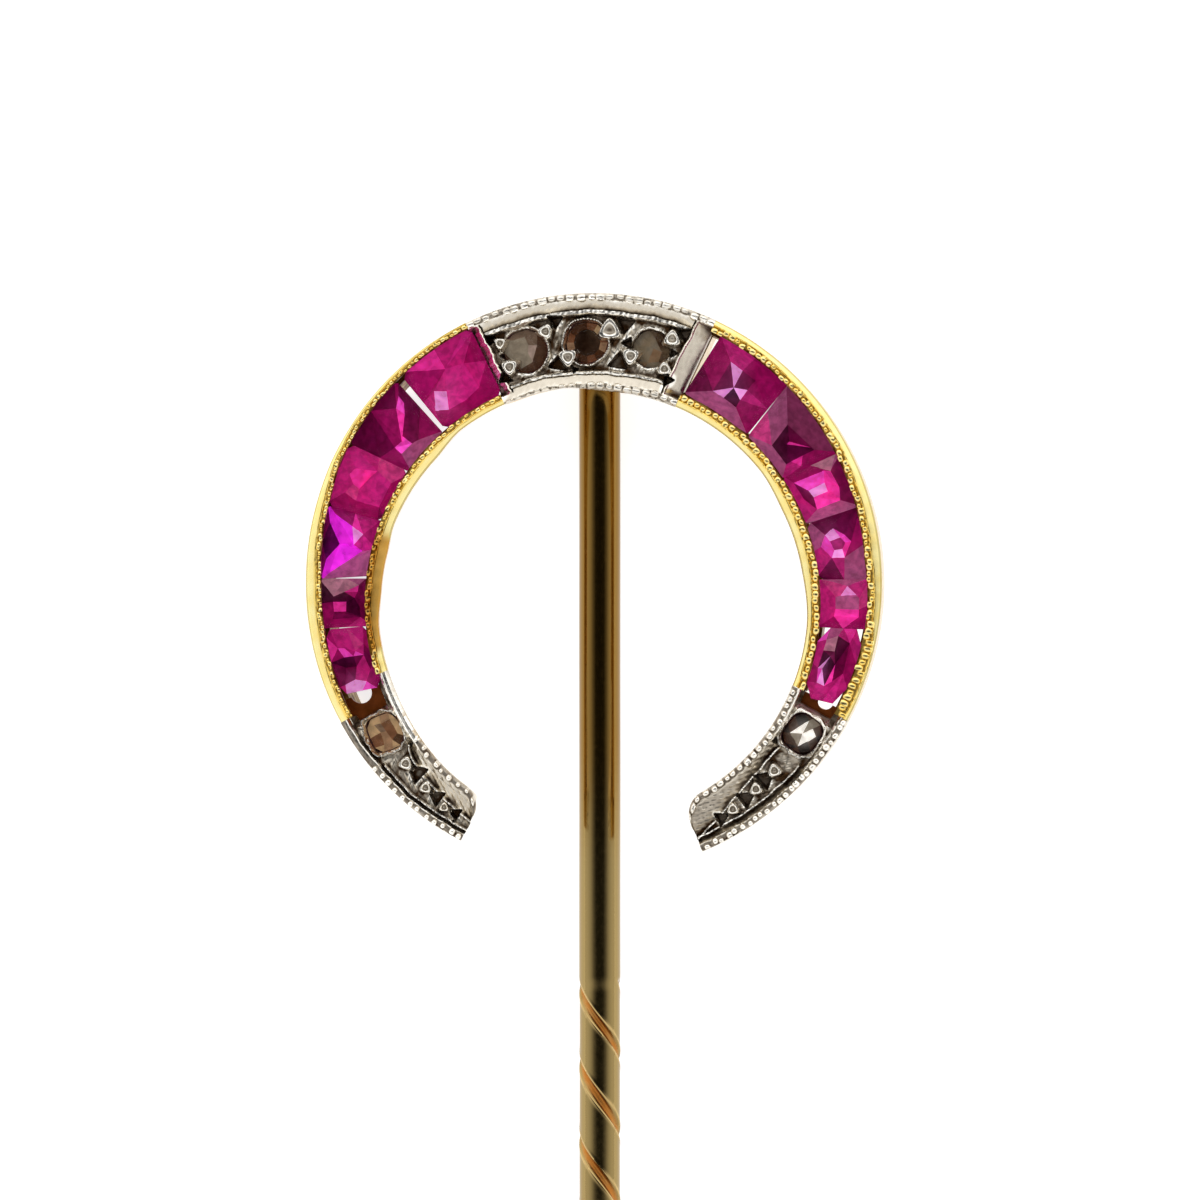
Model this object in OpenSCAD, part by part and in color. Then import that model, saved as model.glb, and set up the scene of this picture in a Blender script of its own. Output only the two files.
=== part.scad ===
// Horseshoe stick pin. A gold channel holds twelve calibre-cut rubies, six down each arm.
// Platinum facings with five small diamonds cover the top of the arch and its two ends.
// A long gold stem with a spiral-grooved stretch is soldered behind the top of the arch.
//
// The head is drawn flat, with its back on z = 0, its front facing +Z and the middle of its
// outer circle on the Z axis. Angles are counted from +X towards +Y. The whole pin is then
// laid on a table: the stem lies on it, and the head leans about the stem to its left side.

/* [Head] */
// Outer radius of the horseshoe
head_r = 7.5; // [7.4:0.05:7.7]
// Radius of the horseshoe's inner edge
inner_r = 5.6; // [5.5:0.05:5.65]
// How far the middle of the inner edge lies below the middle of the outer one
inner_drop = 0.6; // [0.5:0.05:0.65]
// How much wider the opening of the horseshoe is at its back than at its front
inner_taper = 0.3; // [0.1:0.05:0.32]
// Depth of the head from its back to the top of its rails
head_depth = 2.2; // [2.1:0.05:2.4]
// Rounding of the rails' outer and inner edges
rail_round = 0.18; // [0.1:0.02:0.2]
// Bevel round the back of the head
back_bevel = 0.1; // [0.05:0.05:0.2]
// Angle at which the right arm ends
right_end = -67.5; // [-69:0.5:-66]
// Angle at which the left arm ends
left_end = 243; // [242:0.5:246]

/* [Channel] */
// Radius of the rails' edge outside the stones
lip_outer_r = 7.1; // [7.05:0.05:7.15]
// How far the middle of that edge lies above the middle of the head
lip_outer_rise = 0.14; // [0.08:0.02:0.16]
// Radius of the rails' edge inside the stones
lip_inner_r = 5.95; // [5.9:0.05:6]
// How far the middle of that edge lies below the middle of the head
lip_inner_drop = 0.55; // [0.5:0.05:0.6]
// How far the lips reach over the stones
lip_w = 0.05; // [0.03:0.01:0.05]
// How far the ledges reach in under the stones
ledge_w = 0.12; // [0.08:0.02:0.16]

/* [Stones] */
// Clear space between a stone and its setting
stone_gap = 0.02; // [0.02:0.01:0.04]
// Height of the rubies' girdles above the back of the head
girdle_z = 1.86; // [1.8:0.02:1.88]
// Thickness of a ruby's girdle
girdle_h = 0.06; // [0.04:0.01:0.08]
// Height of a ruby's crown as a share of its narrow side
crown_share = 0.18; // [0.12:0.01:0.19]
// Depth of a ruby's pavilion as a share of its narrow side
pavilion_share = 0.5; // [0.4:0.02:0.5]

/* [Platinum] */
// Thickness of the platinum facings
facing_t = 0.95; // [0.85:0.05:1.05]
// Depth of the recessed field below the rails
field_depth = 0.3; // [0.2:0.02:0.36]
// Depth of the diamonds' seats below the rails
seat_depth = 0.6; // [0.56:0.02:0.66]
// Space between a facing and the gold under it
facing_gap = 0.02; // [0.02:0.01:0.05]

/* [Stem] */
// Diameter of the stem
stem_d = 1.1; // [1:0.05:1.2]
// Depth to which the stem is let into the back of the head
stem_saddle = 0.4; // [0.3:0.05:0.5]
// Length from the middle of the head down to the stem's point
stem_reach = 56; // [50:1:60]
// Length from the middle of the head down to the spiral stretch
spiral_start = 10.4; // [9.6:0.2:12]
// Length of the spiral stretch
spiral_len = 14; // [12:0.5:16]
// Advance of each groove in one turn
spiral_lead = 4; // [3.2:0.02:4.4]
// Depth of the spiral grooves
groove_depth = 0.12; // [0.06:0.02:0.16]
// Length of the tapered point
point_len = 9; // [6:0.5:12]

/* [Hidden] */
$fn = 96;
over = 1;
far = 14;
rail_z = head_depth;
lip_z = girdle_z + girdle_h + 0.08;
ledge_z = girdle_z - 1.5 * (ledge_w + lip_w) - stone_gap;
facing_z = rail_z - facing_t;
field_z = rail_z - field_depth;
seat_z = rail_z - seat_depth;
stem_r = stem_d / 2;
stem_z = stem_saddle - stem_r;

// The lean at which the left back edge of the head comes down to the table
back_edge_r = head_r - back_bevel;
edge_reach = norm([back_edge_r, stem_z]);
rest_tilt = asin(stem_r / edge_reach) + atan(-stem_z / back_edge_r);
// Shifts that put the middle of the pin's box over the origin
high_side = rail_z - rail_round - stem_z;
low_side = back_bevel - stem_z;
shift_x = (high_side + low_side) * sin(rest_tilt) / 2;
shift_y = (stem_reach - head_r) / 2;

// Angles between which the facing covers the top of the arch
top_from = 64.5;
top_to = 116;
// Width in degrees of the top facing's two sloping end plates
end_plate = 3.6;
// Each through channel ends in a drilled hole: angle, distance from the middle, radius
right_hole = [-26.3, 6.84, 0.22];
left_hole = [205.3, 6.71, 0.28];

// An end facing, counted on the right arm, from its field, its outer and its inner rail
// to the end of the arm; the left one is its mirror image with angles of its own
MAIN = 0;
OUTER = 1;
INNER = 2;
END = 3;
right_tip = [-29.7, -28.2, -26.8, right_end];
left_tip = [-30.3, -29, -23, 180 - left_end];

// Rubies of each arm from the top down: angles of the upper and the lower corner at the
// outer edge, then at the inner edge, the cut, and the share of each side that is lost
// where the corners are cut off
UPPER_OUT = 0;
LOWER_OUT = 1;
UPPER_IN = 2;
LOWER_IN = 3;
CUT = 4;
CORNER = 5;
left_rubies = [
    [116.8, 133.4, 116.6, 133.6, "step", 0.10],
    [135.0, 150.1, 135.4, 148.7, "french", 0.04],
    [150.4, 163.8, 149.0, 163.7, "french", 0.08],
    [164.1, 178.8, 164.0, 178.2, "french", 0.03],
    [179.2, 189.5, 178.8, 190.8, "step", 0.04],
    [189.8, 203.9, 191.2, 205.4, "step", 0.12]];
right_rubies = [
    [62.4, 45.3, 64.0, 43.7, "french", 0.02],
    [45.0, 27.9, 43.3, 28.8, "step", 0.03],
    [27.5, 15.9, 28.4, 15.3, "step", 0.04],
    [15.5, 0.9, 14.9, 1.0, "french", 0.08],
    [0.5, -9.6, 0.5, -11.0, "step", 0.03],
    [-9.9, -26.0, -11.5, -27.2, "step", 0.22]];

// Round diamonds of the top facing, from the left: middle and radius
top_seats = [
    [-1.77, 6.05, 0.58],
    [-0.14, 6.27, 0.53],
    [1.53, 6.10, 0.54]];
// Grains of the top facing: middle and radius
top_grains = [
    [-2.42, 6.21, 0.14], [-1.20, 6.60, 0.15], [-2.20, 5.61, 0.13], [-0.72, 5.83, 0.15],
    [0.50, 6.62, 0.17], [0.98, 5.83, 0.15], [2.12, 6.36, 0.15], [1.93, 5.60, 0.13]];
// Cut pits of the top facing: middle and turn
top_pits = [
    [-0.90, 6.79, 10], [-0.92, 5.66, 200], [0.86, 6.79, 40], [0.62, 5.70, 200],
    [-2.36, 5.50, 60], [2.36, 6.48, 150]];

// Diamond of an end facing: angle, distance from the middle, half width and half length
tip_stone = [-35.6, 6.72, 0.45, 0.48];
// Grains and pits of an end facing: angle back from the end, distance from the middle
tip_grains = [[19.6, 6.78], [13.4, 6.86], [7.6, 6.97]];
tip_pits = [[16.8, 6.78], [10.6, 6.93], [4.8, 7.05]];

// Rays, circles and other plane geometry

function dir(a) = [cos(a), sin(a)];

// Point where the ray at angle a meets the circle of radius r round [0, c]
function on_ray(a, r, c) = (c * sin(a) + sqrt(r * r - pow(c * cos(a), 2))) * dir(a);

function lip_outer_at(a) = on_ray(a, lip_outer_r + lip_w, lip_outer_rise);

// Corner at an inner lip, far enough out for the straight edge across span to clear the rail
function lip_inner_at(a, span) =
    on_ray(a, (lip_inner_r - lip_w) / cos(span / 2), -lip_inner_drop);

// Point p drawn towards c, to the share k of its distance
function toward(p, c, k) = c + k * (p - c);

function lift(p, z) = [p.x, p.y, z];

function mean(points, i = 0) =
    i == len(points) ? [0, 0] : points[i] / len(points) + mean(points, i + 1);

// Four corners, each cut off at the share k of the sides next to it
function cut_corners(c, k) =
    [for (i = [0:3], side = [3, 1]) toward(c[(i + side) % 4], c[i], k)];

module sector(from, to) {
    steps = 6;
    arc = [for (i = [0:steps]) far * dir(from + (to - from) * i / steps)];
    polygon(concat([[0, 0]], arc));
}

module disc_at(r, y) {
    translate([0, y])
        circle(r);
}

module slab(z0, z1) {
    translate([0, 0, z0])
        linear_extrude(z1 - z0)
            children();
}

module on_side(side) {
    mirror([side == "left" ? 1 : 0, 0, 0])
        children();
}

// Head frame to the way that the pin lies on the table
module lay() {
    translate([shift_x, shift_y, stem_r])
        rotate([0, -rest_tilt, 0])
            translate([0, 0, -stem_z])
                children();
}

// The horseshoe's form, shared by the gold and the platinum

// Corner that rounds off the inner edge where an arm of the right side ends
module end_corner(end) {
    round_r = 0.55;
    edge = norm(on_ray(end, inner_r, -inner_drop));
    rotate(end)
        difference() {
            translate([edge - 1, -1])
                square([1 + round_r, 1 + round_r]);
            translate([edge + round_r, round_r])
                circle(round_r);
            translate([edge + round_r, -2])
                square([2, 4]);
        }
}

module arch_plan() {
    difference() {
        disc_at(head_r, 0);
        disc_at(inner_r, -inner_drop);
        sector(left_end, right_end + 360);
        end_corner(right_end);
        mirror([1, 0])
            end_corner(180 - left_end);
    }
}

module arch_blank() {
    intersection() {
        slab(0, rail_z)
            arch_plan();
        rotate_extrude()
            outer_profile();
        inner_flare();
    }
}

// Half section of a disc with a bevelled back and a rounded front edge
module outer_profile() {
    square([head_r - rail_round, rail_z]);
    translate([0, back_bevel])
        square([head_r, rail_z - rail_round - back_bevel]);
    translate([head_r - rail_round, rail_z - rail_round])
        circle(rail_round);
}

// Everything outside the inner edge, which is rounded at the front and widens to the back
module inner_flare() {
    translate([0, -inner_drop, 0])
        rotate_extrude() {
            polygon([
                [inner_r, rail_z - rail_round], [inner_r + inner_taper, 0],
                [far, 0], [far, rail_z], [inner_r + rail_round, rail_z]]);
            translate([inner_r + rail_round, rail_z - rail_round])
                circle(rail_round);
        }
}

// The strip between the lips, widened on both sides
module channel_plan(grow) {
    difference() {
        disc_at(lip_outer_r + grow, lip_outer_rise);
        disc_at(lip_inner_r - grow, -lip_inner_drop);
    }
}

module channel_cut() {
    slab(lip_z, rail_z + over)
        channel_plan(0);
    slab(ledge_z, lip_z + 0.001)
        channel_plan(lip_w + stone_gap);
}

// Plan of an end facing on the right arm: the field, and a strip on each rail
module tip_plan(tip) {
    last = tip[END] - 6;
    sector(last, tip[MAIN]);
    difference() {
        union() {
            difference() {
                sector(last, tip[OUTER]);
                disc_at(lip_outer_r, lip_outer_rise);
            }
            intersection() {
                sector(last, tip[INNER]);
                disc_at(lip_inner_r, -lip_inner_drop);
            }
        }
        sector(tip[MAIN] - 60, tip[MAIN] - 1);
    }
}

module facing_plan() {
    sector(top_from, top_to);
    tip_plan(right_tip);
    mirror([1, 0])
        tip_plan(left_tip);
}

// Gold body: channel and stem

module back_opening() {
    slab(-over, ledge_z + over / 2) {
        intersection() {
            channel_plan(-ledge_w);
            union() {
                sector(right_hole[0] + 1.5, top_from - 0.6);
                sector(top_to + 0.6, left_hole[0] - 1.5);
            }
        }
        for (h = [right_hole, left_hole])
            translate(h[1] * dir(h[0]))
                circle(h[2]);
    }
}

// Spiral stretch with two left-handed grooves: half of the section holds one notch. Its
// ridges stay a hair inside the plain stem, so that a guard slides over them.
module spiral_stretch() {
    steps = 12;
    ridge_r = stem_r - 0.012;
    section = [for (i = [0:2 * steps - 1])
        (i % steps == steps - 1 ? stem_r - groove_depth : ridge_r) * dir(i * 180 / steps)];
    turn = 360 * spiral_len / spiral_lead;
    linear_extrude(spiral_len, twist = turn, slices = round(turn / 18), $fn = 2 * steps)
        polygon(section);
}

module stem() {
    point_r = 0.06;
    end_bevel = 0.15;
    upper_z = stem_reach - spiral_start;
    spiral_z = upper_z - spiral_len;
    upper_len = spiral_start + head_r - 0.8;
    translate([0, -stem_reach, stem_z])
        rotate([-90, 0, 0]) {
            cylinder(h = point_len, r1 = point_r, r2 = stem_r);
            translate([0, 0, point_len])
                cylinder(h = spiral_z - point_len, r = stem_r);
            translate([0, 0, spiral_z])
                spiral_stretch();
            translate([0, 0, upper_z])
                cylinder(h = upper_len, r = stem_r);
            translate([0, 0, upper_z + upper_len])
                cylinder(h = end_bevel, r1 = stem_r, r2 = stem_r - end_bevel);
        }
}

module gold_body() {
    color("goldenrod")
        lay() {
            difference() {
                arch_blank();
                slab(facing_z - facing_gap, rail_z + over)
                    facing_plan();
                intersection() {
                    channel_cut();
                    slab(0, rail_z + over) {
                        sector(right_tip[MAIN], top_from);
                        sector(top_to, 180 - left_tip[MAIN]);
                    }
                }
                back_opening();
            }
            stem();
        }
}

// Platinum facings

module facing_blank() {
    intersection() {
        arch_blank();
        slab(facing_z, rail_z + over)
            children();
    }
}

// Bright-cut slope and thin raised line beside a rail; side is 1 along the inner rail
module edge_line(r, side) {
    rim = r + side * 0.22;
    foot = rim + side * 0.26;
    line = foot + side * 0.08;
    rotate_extrude()
        polygon([[rim, rail_z + 0.01], [foot, rail_z - 0.2], [foot, rail_z - 0.07],
            [line, rail_z - 0.07], [line, rail_z + 0.01]]);
}

module grain(p, r) {
    post = 0.14;
    translate([p.x, p.y, field_z - over / 20]) {
        cylinder(h = post, r = r);
        translate([0, 0, post])
            sphere(r);
    }
}

module pit(p, turn) {
    translate([p.x, p.y, field_z - 0.16])
        rotate(turn)
            cylinder(h = 1, r = 0.16, $fn = 3);
}

// Slope of an end plate, down towards the rubies; side is 1 at the facing's right end
module end_slope(angle, side) {
    drop = 0.4;
    run = 0.38;
    rotate(angle)
        translate([inner_r - inner_drop + 0.36, 0, rail_z - drop])
            rotate([side * atan(drop / run), 0, 0])
                translate([0, -over, 0])
                    cube([1.84, 2 * over, over]);
}

module seat_ring(s) {
    ring_w = 0.07;
    ring_h = 0.16;
    translate([s.x, s.y, field_z - over / 20])
        cylinder(h = ring_h + over / 20, r = s.z + stone_gap + ring_w);
}

module top_stone_space() {
    for (s = top_seats)
        translate([s.x, s.y, seat_z])
            cylinder(h = seat_depth + over, r = s.z + stone_gap);
}

module platinum_top() {
    line_end = 0.56;
    color("gainsboro")
        lay()
            difference() {
                union() {
                    difference() {
                        facing_blank()
                            sector(top_from, top_to);
                        edge_line(head_r, -1);
                        translate([0, -inner_drop, 0])
                            edge_line(inner_r, 1);
                        slab(field_z, rail_z + over)
                            intersection() {
                                difference() {
                                    disc_at(head_r - line_end, 0);
                                    disc_at(inner_r + line_end, -inner_drop);
                                }
                                sector(top_from + end_plate, top_to - end_plate);
                            }
                        end_slope(top_from, 1);
                        end_slope(top_to, -1);
                        for (p = top_pits)
                            pit(p, p.z);
                    }
                    for (s = top_seats)
                        seat_ring(s);
                    for (g = top_grains)
                        grain(g, g.z);
                }
                top_stone_space();
            }
}

// Distance of the inner raised line from the middle, at the share t of its run to the tip
function inner_line_r(t) = 6.5 + 0.6 * pow(t, 1.5);

// Points of the inner raised line, moved out by shift
function inner_line(tip, shift) =
    let (steps = 8, from = -39)
    [for (i = [0:steps]) (inner_line_r(i / steps) + shift) * dir(from + (tip[END] - from) * i / steps)];

module tip_stone_plan(grow) {
    rotate(tip_stone[0])
        translate([tip_stone[1], 0])
            polygon(tip_stone_outline(grow));
}

function tip_stone_outline(grow) =
    let (w = tip_stone[2] + grow, l = tip_stone[3] + grow)
    cut_corners([[w, l], [-w, l], [-w, -l], [w, -l]], 0.22);

// Cuts of an end facing: a groove inside each rail, the field and the space round the stone
module tip_cuts(tip) {
    line_half = 0.04;
    outer_line = 7.17;
    rail_in = 0.24;
    slab(rail_z - 0.2, rail_z + over)
        difference() {
            polygon(concat([[0, 0]], inner_line(tip, -line_half)));
            disc_at(inner_r + rail_in, -inner_drop);
        }
    slab(rail_z - 0.12, rail_z + over)
        intersection() {
            sector(tip[END] - over, tip[MAIN] - 1);
            difference() {
                disc_at(head_r - 0.18, 0);
                disc_at(outer_line + line_half, 0);
            }
        }
    slab(field_z, rail_z + over)
        intersection() {
            difference() {
                disc_at(outer_line - line_half, 0);
                polygon(concat([[0, 0]], inner_line(tip, line_half)));
            }
            sector(tip[END] + 1, -39);
        }
    slab(field_z, rail_z + over)
        intersection() {
            tip_stone_plan(0.14);
            difference() {
                disc_at(outer_line - line_half, 0);
                disc_at(inner_r + rail_in, -inner_drop);
            }
        }
}

module platinum_tip(side, tip) {
    color("gainsboro")
        lay()
            difference() {
                union() {
                    difference() {
                        facing_blank()
                            on_side(side)
                                tip_plan(tip);
                        on_side(side)
                            tip_cuts(tip);
                        intersection() {
                            channel_cut();
                            slab(0, rail_z + over)
                                on_side(side)
                                    sector(tip[MAIN], 0);
                        }
                        on_side(side)
                            for (p = tip_pits)
                                pit(p[1] * dir(tip[END] + p[0]), tip[END] + p[0] + 90);
                    }
                    on_side(side)
                        for (g = tip_grains)
                            grain(g[1] * dir(tip[END] + g[0]), 0.13);
                }
                on_side(side)
                    slab(seat_z, rail_z + over)
                        tip_stone_plan(stone_gap);
            }
}

// Stones

// A ruby: the convex form round its table, crown, girdle, pavilion and culet
module ruby(row) {
    span = row[UPPER_IN] - row[LOWER_IN];
    corners = [lip_outer_at(row[UPPER_OUT]), lip_outer_at(row[LOWER_OUT]),
        lip_inner_at(row[LOWER_IN], span), lip_inner_at(row[UPPER_IN], span)];
    outline = cut_corners(corners, row[CORNER]);
    sides = [for (i = [0:3]) (corners[i] + corners[(i + 1) % 4]) / 2];
    middle = mean(corners);
    narrow = min(norm(corners[0] - corners[3]), norm(corners[0] - corners[1]));
    top = girdle_z + girdle_h;
    crown_h = narrow * crown_share;
    french = row[CUT] == "french";
    table = [for (p = french ? sides : outline)
        lift(toward(p, middle, french ? 0.7 : 0.58), top + crown_h)];
    crown = french ? [] : [for (p = outline) lift(toward(p, middle, 0.84), top + crown_h * 0.56)];
    girdle = [for (p = outline, z = [girdle_z, top]) lift(p, z)];
    pavilion = [for (p = outline) lift(toward(p, middle, 0.55), girdle_z - narrow * pavilion_share * 0.6)];
    culet = [lift(middle, girdle_z - narrow * pavilion_share)];
    color("mediumvioletred")
        lay()
            convex(concat(table, crown, girdle, pavilion, culet));
}

module convex(points) {
    hull()
        polyhedron(points, [for (i = [2:len(points) - 1]) [i - 2, i - 1, i]]);
}

// A rose-cut diamond with a small table: flat back, upright girdle and two rows of facets
module diamond(outline) {
    rise = [0, 0.18, 0.36, 0.44];
    spread = [1, 1, 0.72, 0.4];
    convex([for (i = [0:3], p = outline)
        lift(spread[i] * p, seat_z + stone_gap + rise[i])]);
}

module top_diamond(seat) {
    facets = 10;
    color("lightgray")
        lay()
            translate([seat.x, seat.y, 0])
                diamond([for (i = [0:facets - 1]) seat.z * dir(i * 360 / facets)]);
}

module tip_diamond(side) {
    color("lightgray")
        lay()
            on_side(side)
                rotate(tip_stone[0])
                    translate([tip_stone[1], 0, 0])
                        diamond(tip_stone_outline(0));
}

gold_body();
platinum_top();
platinum_tip("left", left_tip);  // platinum_tip_left
platinum_tip("right", right_tip);  // platinum_tip_right
ruby(left_rubies[0]);  // ruby_left_1
ruby(left_rubies[1]);  // ruby_left_2
ruby(left_rubies[2]);  // ruby_left_3
ruby(left_rubies[3]);  // ruby_left_4
ruby(left_rubies[4]);  // ruby_left_5
ruby(left_rubies[5]);  // ruby_left_6
ruby(right_rubies[0]);  // ruby_right_1
ruby(right_rubies[1]);  // ruby_right_2
ruby(right_rubies[2]);  // ruby_right_3
ruby(right_rubies[3]);  // ruby_right_4
ruby(right_rubies[4]);  // ruby_right_5
ruby(right_rubies[5]);  // ruby_right_6
top_diamond(top_seats[0]);  // diamond_top_left
top_diamond(top_seats[1]);  // diamond_top_middle
top_diamond(top_seats[2]);  // diamond_top_right
tip_diamond("left");  // diamond_tip_left
tip_diamond("right");  // diamond_tip_right
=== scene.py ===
"""Looks of a horseshoe stick pin: gold channel, platinum facings, rubies and diamonds.

Sizes are millimetres in the head's own frame, as in the part's source: the head's back is
on z = 0, its front faces +Z and the middle of its outer edge lies on the Z axis. HeadFrame
turns them into metres of the row frame.
"""

import logging
import math
from collections.abc import Callable, Sequence
from dataclasses import dataclass, field
from enum import Enum
from typing import Protocol

import bpy
import numpy as np
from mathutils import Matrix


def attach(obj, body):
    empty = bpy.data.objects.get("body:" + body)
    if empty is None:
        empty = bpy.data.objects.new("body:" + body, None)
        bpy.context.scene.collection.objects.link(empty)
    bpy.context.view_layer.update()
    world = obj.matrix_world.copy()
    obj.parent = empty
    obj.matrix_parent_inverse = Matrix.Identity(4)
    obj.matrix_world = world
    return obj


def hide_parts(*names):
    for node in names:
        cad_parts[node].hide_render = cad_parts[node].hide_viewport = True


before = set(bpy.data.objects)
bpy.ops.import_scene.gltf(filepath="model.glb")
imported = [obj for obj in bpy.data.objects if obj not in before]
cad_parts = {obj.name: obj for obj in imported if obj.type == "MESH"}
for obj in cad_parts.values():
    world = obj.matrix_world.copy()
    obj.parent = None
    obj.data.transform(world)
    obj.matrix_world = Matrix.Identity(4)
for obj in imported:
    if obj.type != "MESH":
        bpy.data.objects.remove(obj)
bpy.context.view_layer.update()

log = logging.getLogger("stick_pin")
Array = np.ndarray
Colour = tuple[float, float, float]
Profile = tuple[tuple[float, float], ...]
Output = bpy.types.NodeSocket

MM = 1000.0  # millimetres in a metre
RAIL_Z = 2.2  # front of the rails and facings
FIELD_Z = 1.9  # cut field of the platinum facings
SEAT_Z = 1.6  # floor of the diamonds' seats
FACING_FOOT_Z = 1.25  # back of the facings, on the gold
EDGE_IN = 0.02  # gap between a facing's first points and its edges
BEAD_FILL = 14.0  # how fast the film and painted shade between beads fade as they rise
# Painted shade: the gold's walls are toned darker than its fronts.
WALL_SHADE_TONE: Colour = (0.62, 0.6, 0.78)
SIDES = 12  # points of a stone's girdle
ROSE_TABLE = 0.6  # size of a table beside its girdle
FRENCH_TABLE = 0.72
LOW_REACH, LOW_FROM, LOW_RUN = 9, 0.012, 0.07  # cells, then millimetres below the mean
PROUD_REACH, PROUD_FROM, PROUD_RUN = 6, 0.006, 0.035  # the same above it


class Arm(Enum):
    """The two arms of the horseshoe."""

    LEFT = "left"
    RIGHT = "right"


class Edge(Enum):
    """The two rails that hold the stones."""

    OUTER = "outer"
    INNER = "inner"


def smooth(value: Array, low: float, high: float) -> Array:
    """Runs softly from 0 at low to 1 at high.

    Args:
        value: Values to map.
        low: Value that gives 0.
        high: Value that gives 1.

    Returns:
        The mapped values.
    """
    t = np.clip((value - low) / (high - low), 0.0, 1.0)
    return t * t * (3.0 - 2.0 * t)


def between(value: Array, rise: tuple[float, float], fall: tuple[float, float]) -> Array:
    """Runs softly up from 0 to 1 over one stretch and back to 0 over another."""
    return smooth(value, *rise) * (1 - smooth(value, *fall))


def profile(value: Array, steps: Profile) -> Array:
    """Height of a drawn profile at each value."""
    return np.interp(value, *zip(*steps))


def polar(reach: float, degrees: float) -> tuple[float, float]:
    """Place in plan at a distance from the middle and an angle in degrees."""
    return reach * math.cos(math.radians(degrees)), reach * math.sin(math.radians(degrees))


def waver(along: Array, reach: float, seed: int) -> Array:
    """Slow irregular wave of a line that was cut by hand.

    Args:
        along: Place on the line, in millimetres.
        reach: Greatest departure, in millimetres.
        seed: Number that sets the wave.

    Returns:
        The departure at each place.
    """
    rng = np.random.default_rng(seed)
    total = np.zeros_like(along)
    for wave in (0.45, 0.8, 1.7, 3.1):
        total = total + np.sin(2 * math.pi * (along / wave + rng.random())) * wave ** 0.4
    return total * reach / 3.6


def blurred(values: Array, reach: int) -> Array:
    """Mean of a grid of values over a square, run twice.

    Args:
        values: Grid of values.
        reach: Cells on each side of the middle one.

    Returns:
        A softened grid of the same size.
    """
    width = 2 * reach + 1
    for _ in range(2):
        for axis in (0, 1):
            pad = [(0, 0), (0, 0)]
            pad[axis] = (reach + 1, reach)
            total = np.cumsum(np.pad(values, pad, mode="edge"), axis=axis)
            size = total.shape[axis]
            ahead = np.take(total, range(width, size), axis=axis)
            values = (ahead - np.take(total, range(size - width), axis=axis)) / width
    return values


@dataclass(frozen=True)
class HeadFrame:
    """The head's own frame, and how it leans on the table beside the stem."""

    lean: float = math.radians(5.4228)
    shift_x: float = 0.11435
    shift_y: float = 24.25
    stem_r: float = 0.55
    stem_z: float = -0.15

    def to_row(self, points: Array) -> Array:
        """Turns head millimetres into metres of the row frame.

        Args:
            points: One point a row.

        Returns:
            The same points in the row frame.
        """
        x, y, z = points[:, 0], points[:, 1], points[:, 2] - self.stem_z
        c, s = math.cos(self.lean), math.sin(self.lean)
        laid = (x * c - z * s + self.shift_x, y + self.shift_y, x * s + z * c + self.stem_r)
        return np.stack(laid, axis=1) / MM


HEAD = HeadFrame()


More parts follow.
